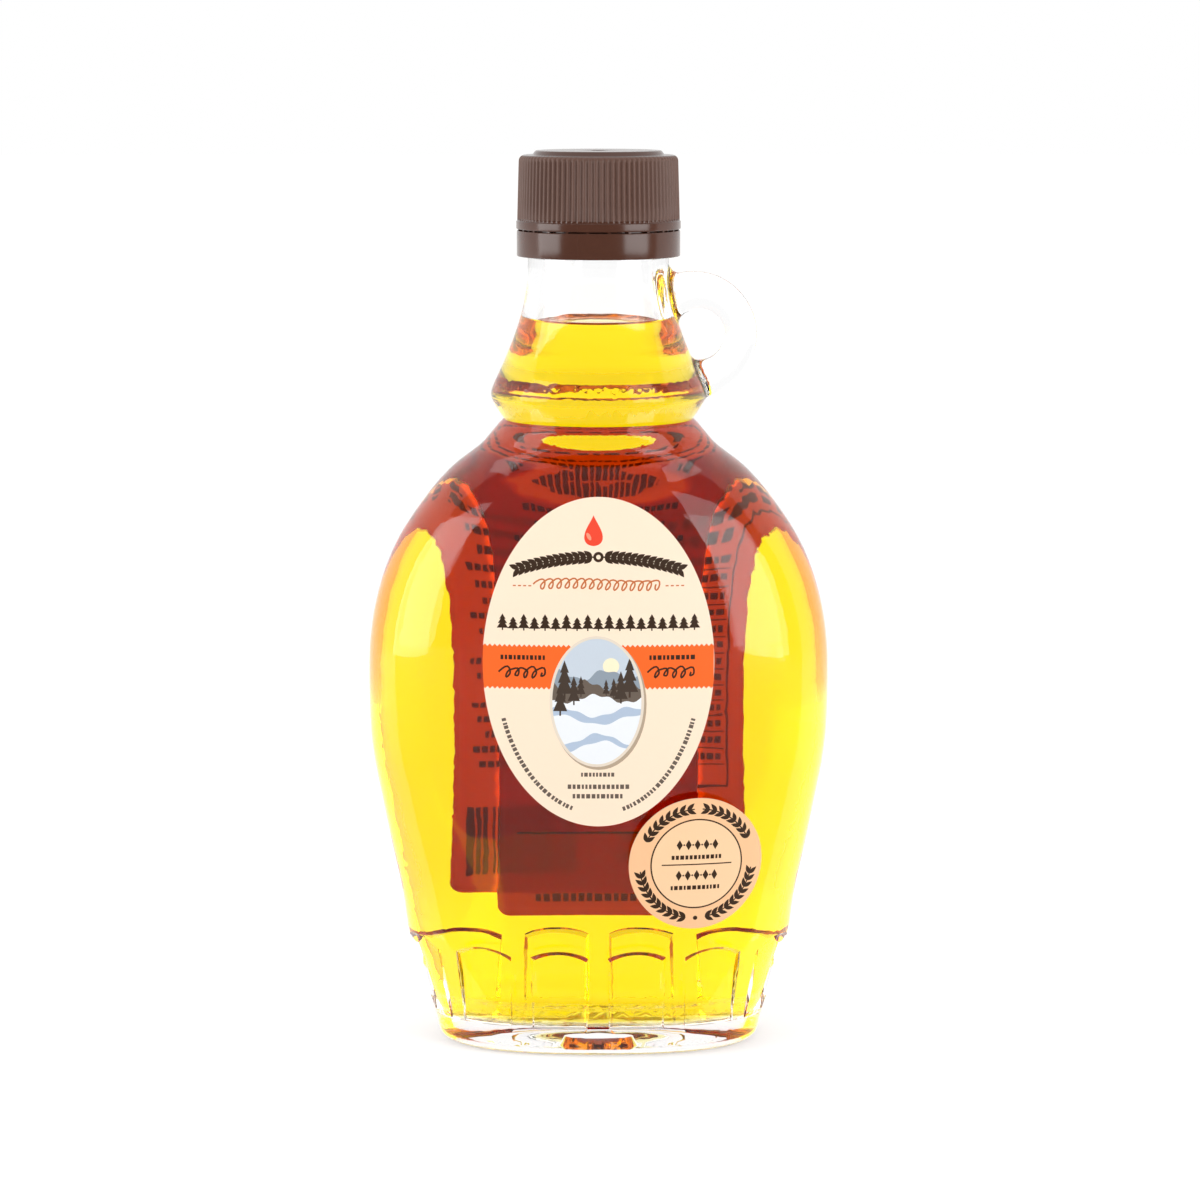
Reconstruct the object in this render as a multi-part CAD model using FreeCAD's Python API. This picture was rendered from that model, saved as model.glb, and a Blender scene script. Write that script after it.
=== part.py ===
"""Syrup bottle: a flat oval glass flask with a ring handle, its screw cap, four paper labels and the syrup.

Millimetres, +Z up. The origin is the middle of the foot that the bottle stands on. The front label
faces -Y, and the ring handle is on the +X side of the neck.
"""
import FreeCAD, Part
import math
import os
from collections import namedtuple

Vector = FreeCAD.Vector
UP = Vector(0, 0, 1)
ORIGIN = Vector(0, 0, 0)
FRONT = Vector(0, -1, 0)
BACK = Vector(0, 1, 0)

# An oval of the glass: half-width along X, half-depth along Y, height, and how full its corners are.
# A fullness of 2 is an ellipse, and more is squarer.
Ring = namedtuple("Ring", "width depth height fullness")

# ---------------------------------------------------------------- driving dimensions: glass body
FOOT_WIDTH = 55.0            # flat outline that touches the table
FOOT_DEPTH = 30.0
FOOT_ROUND = 3.2             # rounding between the foot and the heel
HEEL_WIDTH = 72.9            # widest line of the flared heel
HEEL_DEPTH = 38.6
HEEL_HEIGHT = 22.6
BODY_WIDTH = 86.6            # belly of the flask
BODY_DEPTH = 46.4
BELLY_HEIGHT = 66.0
BODY_HEIGHT = 117.6          # where the shoulder runs into the neck
HEEL_EDGE = 0.8              # the flared heel turns in this far below its line
BODY_FULLNESS = 2.45
HEEL_FULLNESS = 2.35
NECK_FULLNESS = 2.0

# Lower side: narrower than the belly by these half-widths and half-depths, at shares of the rise.
LOWER_SIDE = ((0.06, 6.45, 3.60), (0.30, 4.45, 2.30), (0.56, 2.20, 1.00), (0.80, 0.40, 0.22))
# Shoulder: half-width lost to the belly, half-depth lost to the belly, drop below BODY_HEIGHT.
SHOULDER = ((0.20, 0.05, 41.0), (2.35, 0.40, 29.8), (5.40, 0.95, 22.2), (10.30, 1.95, 14.6),
            (17.10, 3.75, 7.1), (21.90, 5.00, 3.3))

WALL = 3.1                   # glass thickness of the body
BASE_THICKNESS = 5.2
INNER_CORNER = 3.6           # rounding of the inside at the floor
PUSH_UP_HEIGHT = 1.9         # dome under the base
PUSH_UP_RINGS = ((0.72, 0.72), (0.25, 1.0))  # dome: share of the land's size, share of the height
PUSH_UP_START = (0.4, 0.6)   # the dome's cut starts this much wider and lower than the foot
FOOT_LAND = 3.4              # width of the flat that the bottle stands on

# ---------------------------------------------------------------- driving dimensions: heel flutes
FLUTES = 12
FLUTE_BOTTOM = 5.4
FLUTE_TOP = 20.4
FLUTE_RIB = 3.6              # plain glass between two flutes
FLUTE_DEPTH = 1.05
FLUTE_CROWN = 1.1            # rise of the shallow arch at a flute's top
FLUTE_DRAFT = 0.5            # how much wider a flute is at its mouth than at its floor, each side
FLUTE_TOP_DRAFT = 1.1        # the same at its top, which slopes more
FLUTE_CUT_REACH = 2.0        # the cutting tool runs this far past the mouth and the floor
STATION_STEPS = 40           # fineness of the walk round the heel that spaces the flutes

# ---------------------------------------------------------------- driving dimensions: neck and finish
NECK_RADIUS = 13.2           # straight neck under the cap
NECK_RISE = 29.6             # its lower end; this and the next rises are heights above BODY_HEIGHT
NECK_ROOT_RADIUS = NECK_RADIUS + 5.0  # waist above the shoulder
WAIST_RISE = 1.6
CREASE_STEP = 0.9            # how far the shoulder runs on inside the neck
NECK_ROOT_DEPTH = 4.0        # how far the neck's root runs down inside the shoulder
NECK_ROOT_TAPER = 0.5        # the root is narrower at its lower end by this radius
RIDGE_RADIUS = NECK_RADIUS + 6.95
RIDGE_RISE = 5.5
FLANK_RADIUS = NECK_RADIUS + 6.1  # upper side of the ridge
FLANK_RISE = 8.1
COLLAR_RADIUS = NECK_RADIUS + 5.1
COLLAR_RISE = 10.2
CONE_RADIUS = NECK_RADIUS + 3.3
CONE_RISE = 14.4
THROAT_RADIUS = NECK_RADIUS + 1.4
THROAT_RISE = 19.8
FINISH_RADIUS = NECK_RADIUS - 0.6  # root of the cap's thread
FINISH_HEIGHT = 19.0         # straight neck to the lip
BEAD_FLARE = 0.7             # the bead that holds the tamper band stands this far out, and slopes as much
LOCK_BEAD_RISE = 3.6         # start of its flare, above the straight neck's lower end
LOCK_BEAD_HEIGHT = 1.6
LIP_ROUND = 0.7
NECK_WALL = 3.5
BORE_LENGTH = 8.0            # straight bore under the lip
BORE_FLARE = 0.4             # the bore is wider by this radius at the straight neck's lower end
BORE_CLEAR = 1.0             # the cut runs on this far above the lip
BELL_THIN = 1.4              # the wall is this much thinner where the shoulder turns into the neck
BELL_DROP = 1.0              # and that place is this far below BODY_HEIGHT
WAIST_THIN = 0.6             # the wall is this much thinner at the waist
RIDGE_THICK = 0.4            # and this much thicker behind the ridge
SHOULDER_INSIDE = 5.0        # the inside leaves the shoulder's form this far below BODY_HEIGHT

# ---------------------------------------------------------------- driving dimensions: ring handle
HANDLE_RADIUS = 11.8
HANDLE_HOLE_RADIUS = 4.75
HANDLE_THICKNESS = 5.8
HANDLE_REACH = 29.5          # from the bottle's axis to the far side of the ring
HANDLE_HOLE_SHIFT = 1.05     # the hole sits this much further out than the ring's own middle
HANDLE_RISE = 16.5           # middle of the ring above BODY_HEIGHT
HANDLE_ROUND = 2.0
HANDLE_BLEND = 1.8           # fillet where the ring grows out of the neck

# ---------------------------------------------------------------- driving dimensions: contents
FILL_RISE = 18.4             # level above BODY_HEIGHT, in the neck
MENISCUS_RADIUS = 2.4        # curl of the syrup's edge where it climbs the glass
MENISCUS_ANGLE = 55.0        # slope it reaches at the glass
MENISCUS_OVERRUN = 20.0      # the cut runs this much further, into the wall

# ---------------------------------------------------------------- driving dimensions: cap
CAP_WALL = 1.25
CAP_PANEL = 1.2              # top panel at the rim
CAP_PLATEAU_RISE = 0.8
CAP_PLATEAU_INSET = 3.1      # from the skirt's upper edge
CAP_PLATEAU_SLOPE = 0.5      # the step up to the plateau leans by this much
CAP_TOP_ROUND = 1.0
CAP_TOP_FACET = (0.55, 0.7)  # corner of the rim's bevel: shares of the round, inwards and upwards
CAP_CROWN_DEPTH = 1.0        # how far the top runs down behind the knurls
THREAD_ROOM = 0.95           # space for the thread between finish and skirt
SKIRT_TAPER = 0.3            # the skirt is wider at its lower end by this radius
FLANGE_HEIGHT = 1.5
FLANGE_PROUD = 0.2
FLANGE_BEVEL = 0.3
BAND_HEIGHT = 4.8            # tamper band under the skirt
BAND_WALL = 1.15
BAND_CLEARANCE = 0.15
BAND_GAP = 0.4               # slit between the band and the skirt
BAND_BRIDGES = 12
BRIDGE_WIDTH = 0.8
BAND_HOOK_CLEARANCE = 0.2    # between the band's inner hook and the neck
BAND_HOOK_PLAY = 0.3         # between the hook and the bead above it
BAND_HOOK_HEIGHT = 1.2
NECK_SHOW = 1.5              # straight neck left bare under the band
KNURLS = 90
KNURL_DEPTH = 0.32
KNURL_LAND = 0.42            # tooth's outer flat, share of the pitch
KNURL_GROOVE = (0.58, 0.84)  # start and end of the groove's floor, shares of the pitch

# ---------------------------------------------------------------- driving dimensions: labels
PAPER = 0.12
FRONT_LABEL_WIDTH = 42.4
FRONT_LABEL_HEIGHT = 60.9
FRONT_LABEL_MIDDLE = 75.6
GRADE_LABEL_DIAMETER = 25.3
GRADE_LABEL_SIDE = 18.5      # middle of the round label, to the right of the axis
GRADE_LABEL_MIDDLE = 37.6
GRADE_STAMP_REACH = 8.0      # the stamp that cuts the round label runs this far either side of the wall
TALL_LABEL_WIDTH = 33.5
TALL_LABEL_BOTTOM = 23.2
TALL_LABEL_TOP = 113.5
WIDE_LABEL_WIDTH = 47.0
WIDE_LABEL_BOTTOM = 27.9
WIDE_LABEL_TOP = 99.0
LABEL_CORNER = 2.0

# ---------------------------------------------------------------- places worked out from the above
NECK_TOP = BODY_HEIGHT + NECK_RISE
LOCK_BEAD_RADIUS = NECK_RADIUS + BEAD_FLARE
BORE_RADIUS = NECK_RADIUS - NECK_WALL
FILL_HEIGHT = BODY_HEIGHT + FILL_RISE
BEAD_START = NECK_TOP + LOCK_BEAD_RISE
CAP_BOTTOM = NECK_TOP + NECK_SHOW
LIP_HEIGHT = NECK_TOP + FINISH_HEIGHT
CAP_RIM_HEIGHT = LIP_HEIGHT + CAP_PANEL
HANDLE_MIDDLE = Vector(HANDLE_REACH - HANDLE_RADIUS, 0, BODY_HEIGHT + HANDLE_RISE)
SECTION_POLES = 24           # control points round each oval
ROUND_STEPS = 3              # rings that carry a rounding
TOUCH = 0.001                # two surfaces this close meet


def signed_power(value, power):
    """value raised to power, keeping its sign."""
    return math.copysign(abs(value) ** power, value)


def section_poles(fullness):
    """Control points of a periodic cubic oval that reaches 1 on both axes."""
    power = 2.0 / fullness
    turns = [2 * math.pi * step / SECTION_POLES for step in range(SECTION_POLES)]
    raw = [(signed_power(math.cos(turn), power), signed_power(math.sin(turn), power)) for turn in turns]
    reach = (4 * raw[0][0] + 2 * raw[1][0]) / 6
    return [(x / reach, y / reach) for x, y in raw]


def fullness_at(rings, height):
    """Fullness of the oval at a height, straight between the rings."""
    for low, high in zip(rings, rings[1:]):
        if height <= high.height:
            share = max(0.0, (height - low.height) / (high.height - low.height))
            return low.fullness + share * (high.fullness - low.fullness)
    return rings[-1].fullness


def oval_solid(rings):
    """Solid with one smooth wall through oval rings, and a flat at each end."""
    rail = Part.BSplineCurve()
    rail.interpolate([Vector(ring.width, ring.depth, ring.height) for ring in rings])
    rows = []
    for pole in rail.getPoles():
        oval = section_poles(fullness_at(rings, pole.z))
        rows.append([Vector(pole.x * x, pole.y * y, pole.z) for x, y in oval])
    round_knots = list(range(SECTION_POLES + 1))
    surface = Part.BSplineSurface()
    surface.buildFromPolesMultsKnots(
        [list(column) for column in zip(*rows)],
        [1] * len(round_knots), rail.getMultiplicities(), round_knots, rail.getKnots(),
        True, False, 3, rail.Degree)
    wall = surface.toShape()
    ends = [Part.Face(Part.Wire([edge])) for edge in wall.Edges if edge.isClosed()]
    return Part.Solid(Part.Shell([wall.reversed(), *ends]))


def revolved(edges):
    """Solid turned from a closed outline of edges in the XZ plane."""
    solid = Part.Face(Part.Wire(edges)).revolve(ORIGIN, UP, 360)
    return solid if solid.Volume > 0 else solid.reversed()


def outline(points):
    """Straight edges through (radius, height) points, closed."""
    corners = [Vector(radius, 0, height) for radius, height in points]
    return [Part.makeLine(start, end) for start, end in zip(corners, corners[1:] + corners[:1])]


def outset(ring, amount):
    """The ring grown by an amount on every side, or shrunk if the amount is negative."""
    return ring._replace(width=ring.width + amount, depth=ring.depth + amount)


# ------------------------------------------------------------------------------ glass
def side_rings():
    """Outer rings of the flask's side, from the heel line to the neck."""
    rise = BELLY_HEIGHT - HEEL_HEIGHT
    rings = [Ring(HEEL_WIDTH / 2, HEEL_DEPTH / 2, HEEL_HEIGHT - HEEL_EDGE, HEEL_FULLNESS)]
    for share, less_width, less_depth in LOWER_SIDE:
        rings.append(Ring(BODY_WIDTH / 2 - less_width, BODY_DEPTH / 2 - less_depth,
                          HEEL_HEIGHT + share * rise, BODY_FULLNESS))
    rings.append(Ring(BODY_WIDTH / 2, BODY_DEPTH / 2, BELLY_HEIGHT, BODY_FULLNESS))
    for step, (less_width, less_depth, drop) in enumerate(SHOULDER, start=1):
        share = step / len(SHOULDER)
        rings.append(Ring(BODY_WIDTH / 2 - less_width, BODY_DEPTH / 2 - less_depth, BODY_HEIGHT - drop,
                          BODY_FULLNESS + share ** 2 * (NECK_FULLNESS - BODY_FULLNESS)))
    return rings


def outer_rings():
    """Rings of the outer wall, from the foot to just inside the neck."""
    foot = Ring(FOOT_WIDTH / 2, FOOT_DEPTH / 2, 0.0, HEEL_FULLNESS)
    rings = []
    for step in range(ROUND_STEPS + 1):
        turn = math.pi / 2 * step / ROUND_STEPS
        rings.append(outset(foot, FOOT_ROUND * math.sin(turn))._replace(
            height=FOOT_ROUND * (1 - math.cos(turn))))
    side = side_rings()
    low, high = rings[-1], side[0]
    for share in (1 / 3, 2 / 3):
        rings.append(Ring(*(start + share * (end - start) for start, end in zip(low, high))))
    root = NECK_ROOT_RADIUS + CREASE_STEP / 2
    neck_ring = Ring(root, root, BODY_HEIGHT, NECK_FULLNESS)
    buried = outset(neck_ring, -CREASE_STEP)._replace(height=BODY_HEIGHT + CREASE_STEP)
    return rings + side + [neck_ring, buried]


def flask(grown=0.0):
    """Outer form of the flask below the neck, grown by an amount on every side."""
    return oval_solid([outset(ring, grown) for ring in outer_rings()])


def neck():
    """Solid neck and finish, turned about the axis, with its root inside the shoulder."""
    bottom = BODY_HEIGHT - NECK_ROOT_DEPTH
    bell = Part.BSplineCurve()
    bell.interpolate([
        Vector(NECK_ROOT_RADIUS - NECK_ROOT_TAPER, 0, bottom),
        Vector(NECK_ROOT_RADIUS, 0, BODY_HEIGHT + WAIST_RISE),
        Vector(RIDGE_RADIUS, 0, BODY_HEIGHT + RIDGE_RISE),
        Vector(FLANK_RADIUS, 0, BODY_HEIGHT + FLANK_RISE),
        Vector(COLLAR_RADIUS, 0, BODY_HEIGHT + COLLAR_RISE),
        Vector(CONE_RADIUS, 0, BODY_HEIGHT + CONE_RISE),
        Vector(THROAT_RADIUS, 0, BODY_HEIGHT + THROAT_RISE),
        Vector(NECK_RADIUS, 0, NECK_TOP)])
    bead_bottom = BEAD_START + BEAD_FLARE
    bead_top = bead_bottom + LOCK_BEAD_HEIGHT
    finish = [
        (NECK_RADIUS, NECK_TOP), (NECK_RADIUS, BEAD_START), (LOCK_BEAD_RADIUS, bead_bottom),
        (LOCK_BEAD_RADIUS, bead_top), (FINISH_RADIUS, bead_top + BEAD_FLARE),
        (FINISH_RADIUS, LIP_HEIGHT - LIP_ROUND), (FINISH_RADIUS - LIP_ROUND, LIP_HEIGHT),
        (0, LIP_HEIGHT), (0, bottom), (NECK_ROOT_RADIUS - NECK_ROOT_TAPER, bottom)]
    corners = [Vector(radius, 0, height) for radius, height in finish]
    lines = [Part.makeLine(start, end) for start, end in zip(corners, corners[1:])]
    return revolved([bell.toShape(), *lines])


def ring_handle():
    """Finger ring in the plane of the bottle, round-edged all over."""
    start = HANDLE_MIDDLE - Vector(0, HANDLE_THICKNESS / 2, 0)
    hole_start = start + Vector(HANDLE_HOLE_SHIFT, 0, 0)
    disc = Part.makeCylinder(HANDLE_RADIUS, HANDLE_THICKNESS, start, BACK)
    ring = disc.cut(Part.makeCylinder(HANDLE_HOLE_RADIUS, HANDLE_THICKNESS, hole_start, BACK))
    rims = [edge for edge in ring.Edges if isinstance(edge.Curve, Part.Circle)]
    return ring.makeFillet(HANDLE_ROUND, rims)


def cavity():
    """Inside of the bottle, from the floor to above the lip."""
    heel = [ring for ring in outer_rings() if ring.height > BASE_THICKNESS + INNER_CORNER]
    heel = [outset(ring, -WALL) for ring in heel if ring.height < BODY_HEIGHT - SHOULDER_INSIDE]
    share = (BASE_THICKNESS + INNER_CORNER) / heel[0].height
    corner = outset(heel[0], -(1 - share) * (HEEL_WIDTH - FOOT_WIDTH) / 2)
    rings = []
    for step in range(ROUND_STEPS + 1):
        turn = math.pi / 2 * step / ROUND_STEPS
        rings.append(outset(corner, -INNER_CORNER * (1 - math.sin(turn)))._replace(
            height=BASE_THICKNESS + INNER_CORNER * (1 - math.cos(turn))))
    bore = [
        (NECK_ROOT_RADIUS + BELL_THIN - WALL, BODY_HEIGHT - BELL_DROP),
        (NECK_ROOT_RADIUS + WAIST_THIN - WALL, BODY_HEIGHT + WAIST_RISE),
        (RIDGE_RADIUS - RIDGE_THICK - WALL, BODY_HEIGHT + RIDGE_RISE),
        (COLLAR_RADIUS - WALL, BODY_HEIGHT + COLLAR_RISE),
        (CONE_RADIUS - WALL, BODY_HEIGHT + CONE_RISE),
        (THROAT_RADIUS - WALL, BODY_HEIGHT + THROAT_RISE),
        (BORE_RADIUS + BORE_FLARE, NECK_TOP),
        (BORE_RADIUS, LIP_HEIGHT - BORE_LENGTH),
        (BORE_RADIUS, LIP_HEIGHT + BORE_CLEAR)]
    rings += heel
    rings += [Ring(radius, radius, height, NECK_FULLNESS) for radius, height in bore]
    return oval_solid(rings)


def push_up():
    """Dome cut into the underside, inside the foot's flat land."""
    land = Ring(FOOT_WIDTH / 2 - FOOT_LAND, FOOT_DEPTH / 2 - FOOT_LAND, 0.0, HEEL_FULLNESS)
    wider, lower = PUSH_UP_START
    rings = [outset(land, wider)._replace(height=-lower), land]
    rings += [Ring(size * land.width, size * land.depth, rise * PUSH_UP_HEIGHT, NECK_FULLNESS)
              for size, rise in PUSH_UP_RINGS]
    return oval_solid(rings)


def arch(width, bottom, top):
    """Closed outline in the YZ plane with a shallow arched top: a flute seen from outside."""
    side = width / 2
    spring = top - FLUTE_CROWN
    low_left, low_right = Vector(0, -side, bottom), Vector(0, side, bottom)
    left, right, crown = Vector(0, -side, spring), Vector(0, side, spring), Vector(0, 0, top)
    return Part.Wire([
        Part.makeLine(low_left, low_right), Part.makeLine(low_right, right),
        Part.Arc(right, crown, left).toShape(), Part.makeLine(left, low_left)])


def flute_tool(width):
    """Cutting tool for one flute, which faces +X: it narrows from beyond its mouth to below its floor."""
    tiers = []
    for growth, depth in (
            (-1, FLUTE_DEPTH + FLUTE_CUT_REACH), (-1, FLUTE_DEPTH), (0, 0), (1, -FLUTE_CUT_REACH)):
        tier = arch(width + 2 * growth * FLUTE_DRAFT, FLUTE_BOTTOM - growth * FLUTE_DRAFT,
                    FLUTE_TOP + growth * FLUTE_TOP_DRAFT)
        tier.translate(Vector(-depth, 0, 0))
        tiers.append(tier)
    return Part.makeLoft(tiers, True, True)


def flutes(outer):
    """Shallow arched panels round the heel, between even ribs, with a rib in the middle of the front."""
    section = outer.slice(UP, (FLUTE_BOTTOM + FLUTE_TOP) / 2)[0]
    around = section.discretize(Number=2 * FLUTES * STATION_STEPS + 1)[:-1]
    front = min((abs(place.x), number) for number, place in enumerate(around) if place.y < 0)[1]
    stations = (around[front:] + around[:front + 1])[::STATION_STEPS]
    tool = flute_tool(section.Length / FLUTES - FLUTE_RIB)
    inside = flask(-FLUTE_DEPTH)
    cutters = []
    for before, place, after in zip(stations[0::2], stations[1::2], stations[2::2]):
        along = after - before
        cutter = tool.copy()
        cutter.rotate(ORIGIN, UP, math.degrees(math.atan2(-along.x, along.y)))
        cutter.translate(Vector(place.x, place.y, 0))
        cutters.append(cutter.cut(inside))
    return cutters


def junction(joined, first, second):
    """Edges of a joined solid that lie on both of the solids it was joined from."""
    def on(solid, place):
        return min(Part.Vertex(place).distToShape(face)[0] for face in solid.Faces) < TOUCH

    shared = []
    for edge in joined.Edges:
        start, end = edge.ParameterRange
        places = [edge.valueAt(start + share * (end - start)) for share in (0.2, 0.5, 0.8)]
        if all(on(first, place) and on(second, place) for place in places):
            shared.append(edge)
    return shared


def glass_bottle():
    """Flask, neck, finish and ring handle, blown as one piece."""
    body = flask()
    throat = neck()
    ring = ring_handle()
    bottle = body.fuse([throat, ring])
    bottle = bottle.makeFillet(HANDLE_BLEND, junction(bottle, throat, ring))
    return bottle.cut([cavity(), push_up(), *flutes(body)])


# ------------------------------------------------------------------------------ contents
def syrup():
    """Syrup up to its level in the neck, with the edge that climbs the glass."""
    inside = cavity()
    wall = inside.slice(UP, FILL_HEIGHT)[0].BoundBox.XMax
    start = wall - MENISCUS_RADIUS * math.sin(math.radians(MENISCUS_ANGLE))

    def climb(angle):
        turn = math.radians(angle)
        return Vector(start + MENISCUS_RADIUS * math.sin(turn), 0,
                      FILL_HEIGHT + MENISCUS_RADIUS * (1 - math.cos(turn)))

    past = MENISCUS_ANGLE + MENISCUS_OVERRUN
    above = CAP_RIM_HEIGHT + CAP_WALL
    lift = Part.Arc(climb(0), climb(past / 2), climb(past)).toShape()
    corners = [climb(past), Vector(BODY_WIDTH, 0, climb(past).z), Vector(BODY_WIDTH, 0, above),
               Vector(0, 0, above), Vector(0, 0, FILL_HEIGHT), climb(0)]
    lines = [Part.makeLine(low, high) for low, high in zip(corners, corners[1:])]
    return inside.cut(revolved([lift, *lines]))


# ------------------------------------------------------------------------------ cap
def knurled_skirt(bottom, top, low_radius, high_radius):
    """Ring of fine upright teeth, one straight-sided tooth after another."""
    corners = [(0.0, 0.0), (KNURL_LAND, 0.0)] + [(share, KNURL_DEPTH) for share in KNURL_GROOVE]

    def teeth(radius, height):
        points = []
        for step in range(KNURLS):
            for share, depth in corners:
                turn = 2 * math.pi * (step + share) / KNURLS
                reach = radius - depth
                points.append(Vector(reach * math.cos(turn), reach * math.sin(turn), height))
        return Part.makePolygon(points + points[:1])
    return Part.makeLoft([teeth(low_radius, bottom), teeth(high_radius, top)], True, True)


def screw_cap():
    """Moulded cap: knurled skirt on a flange, joined by thin bridges to its tamper band."""
    skirt_inside = FINISH_RADIUS + THREAD_ROOM
    skirt_top = skirt_inside + CAP_WALL
    skirt_bottom = skirt_top + SKIRT_TAPER
    band_top = CAP_BOTTOM + BAND_HEIGHT
    flange_bottom = band_top + BAND_GAP
    flange_top = flange_bottom + FLANGE_HEIGHT
    knurl_top = CAP_RIM_HEIGHT - CAP_TOP_ROUND
    flange = skirt_bottom + FLANGE_PROUD
    plateau = CAP_RIM_HEIGHT + CAP_PLATEAU_RISE
    plateau_radius = skirt_top - CAP_PLATEAU_INSET
    crown_bottom = knurl_top - CAP_CROWN_DEPTH
    inwards, upwards = (share * CAP_TOP_ROUND for share in CAP_TOP_FACET)
    crown = revolved(outline([
        (0, crown_bottom), (skirt_top - KNURL_DEPTH, crown_bottom),
        (skirt_top - KNURL_DEPTH, knurl_top), (skirt_top - inwards, knurl_top + upwards),
        (skirt_top - CAP_TOP_ROUND, CAP_RIM_HEIGHT),
        (plateau_radius + CAP_PLATEAU_SLOPE, CAP_RIM_HEIGHT),
        (plateau_radius, plateau), (0, plateau)]))
    flange_ring = revolved(outline([
        (0, flange_bottom), (flange, flange_bottom), (flange, flange_top - FLANGE_BEVEL),
        (flange - FLANGE_BEVEL, flange_top), (0, flange_top)]))
    skirt = knurled_skirt(flange_top, knurl_top, skirt_bottom, skirt_top)
    hollow = Part.makeCylinder(skirt_inside, LIP_HEIGHT - CAP_BOTTOM, Vector(0, 0, CAP_BOTTOM))
    upper = crown.fuse([flange_ring, skirt]).cut(hollow)

    band_inside = LOCK_BEAD_RADIUS + BAND_CLEARANCE
    band_outside = band_inside + BAND_WALL
    hook = NECK_RADIUS + BAND_HOOK_CLEARANCE
    hook_top = BEAD_START - BAND_HOOK_PLAY
    hook_bottom = hook_top - BAND_HOOK_HEIGHT
    band = revolved(outline([
        (band_inside, CAP_BOTTOM), (band_outside, CAP_BOTTOM), (band_outside, band_top),
        (band_inside, band_top), (band_inside, BEAD_START), (hook, hook_top), (hook, hook_bottom)]))
    bridge = Part.makeBox(BAND_WALL, BRIDGE_WIDTH, BAND_GAP,
                          Vector(band_inside, -BRIDGE_WIDTH / 2, band_top))
    bridges = []
    for step in range(BAND_BRIDGES):
        piece = bridge.copy()
        piece.rotate(ORIGIN, UP, 360.0 * (step + 0.5) / BAND_BRIDGES)
        bridges.append(piece)
    return upper.fuse([band, *bridges]).removeSplitter()


# ------------------------------------------------------------------------------ labels
def wrapped(stamp, inner, outer):
    """Paper cut to the outline of a stamp that is pushed into the flask, between two growths of its wall."""
    return stamp.common(flask(outer)).cut(flask(inner))


def front_label():
    """Tall oval label on the front."""
    shape = Part.Ellipse(ORIGIN, FRONT_LABEL_HEIGHT / 2, FRONT_LABEL_WIDTH / 2).toShape()
    face = Part.Face(Part.Wire([shape]))
    face.rotate(ORIGIN, UP, 90)
    face.rotate(ORIGIN, Vector(1, 0, 0), 90)
    face.translate(Vector(0, 0, FRONT_LABEL_MIDDLE))
    return wrapped(face.extrude(FRONT * BODY_DEPTH), 0.0, PAPER)


def grade_label():
    """Round label low on the right of the front, square to the curved wall there."""
    section = flask().slice(UP, GRADE_LABEL_MIDDLE)[0]
    ray = Part.makeLine(Vector(GRADE_LABEL_SIDE, 0, GRADE_LABEL_MIDDLE),
                        Vector(GRADE_LABEL_SIDE, -BODY_DEPTH, GRADE_LABEL_MIDDLE))
    place = section.distToShape(ray)[1][0][0]
    edge = section.Edges[0]
    tangent = edge.tangentAt(edge.Curve.parameter(place))
    outward = Vector(tangent.y, -tangent.x, 0)
    if outward.y > 0:
        outward = -outward
    start = place - outward * GRADE_STAMP_REACH
    stamp = Part.makeCylinder(GRADE_LABEL_DIAMETER / 2, 2 * GRADE_STAMP_REACH, start, outward)
    return wrapped(stamp, 0.0, PAPER)


def back_stamp(width, bottom, top, corner):
    """Rounded rectangle pushed through the back of the flask."""
    box = Part.makeBox(width, BODY_DEPTH, top - bottom, Vector(-width / 2, 0, bottom))
    upright = [edge for edge in box.Edges if abs(edge.tangentAt(edge.FirstParameter).y) > 0.9]
    return box.makeFillet(corner, upright)


def tall_label():
    """Narrow tall label on the back, straight on the glass."""
    stamp = back_stamp(TALL_LABEL_WIDTH, TALL_LABEL_BOTTOM, TALL_LABEL_TOP, LABEL_CORNER)
    return wrapped(stamp, 0.0, PAPER)


def wide_label():
    """Wide label on the back, stepping up over the edges of the tall one."""
    stamp = back_stamp(WIDE_LABEL_WIDTH, WIDE_LABEL_BOTTOM, WIDE_LABEL_TOP, LABEL_CORNER)
    under = back_stamp(TALL_LABEL_WIDTH, TALL_LABEL_BOTTOM, TALL_LABEL_TOP, LABEL_CORNER)
    over = back_stamp(TALL_LABEL_WIDTH + 2 * PAPER, TALL_LABEL_BOTTOM, TALL_LABEL_TOP, LABEL_CORNER)
    face = stamp.common(flask(PAPER)).fuse(stamp.common(over).common(flask(2 * PAPER)))
    return face.cut([flask(), under.common(flask(PAPER))])


NODES = {
    "glass_bottle": glass_bottle,
    "syrup": syrup,
    "screw_cap": screw_cap,
    "front_label": front_label,
    "grade_label": grade_label,
    "back_label_tall": tall_label,
    "back_label_wide": wide_label,
}

os.makedirs("parts", exist_ok=True)
for name, make in NODES.items():
    shape = make()
    solids = shape.Solids
    print(f"{name}: {len(solids)} solid, {shape.Volume / 1000:.2f} ml, valid {shape.isValid()}")
    (solids[0] if len(solids) == 1 else shape).exportStep(f"parts/{name}.step")
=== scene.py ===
"""Flat glass syrup bottle with a ring handle: glass, syrup, screw cap, four printed labels and the studio.

Metres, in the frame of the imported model: the bottle stands on the origin, the front label faces -Y and
the ring handle is on the +X side. Sizes of print and mouldings are given in millimetres.
"""
import logging
import math
import random
from dataclasses import dataclass, field
from enum import Enum
from typing import Any, Iterable, Sequence

import bpy
import numpy as np
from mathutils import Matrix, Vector
from mathutils.bvhtree import BVHTree
from mathutils.geometry import barycentric_transform, delaunay_2d_cdt


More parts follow.
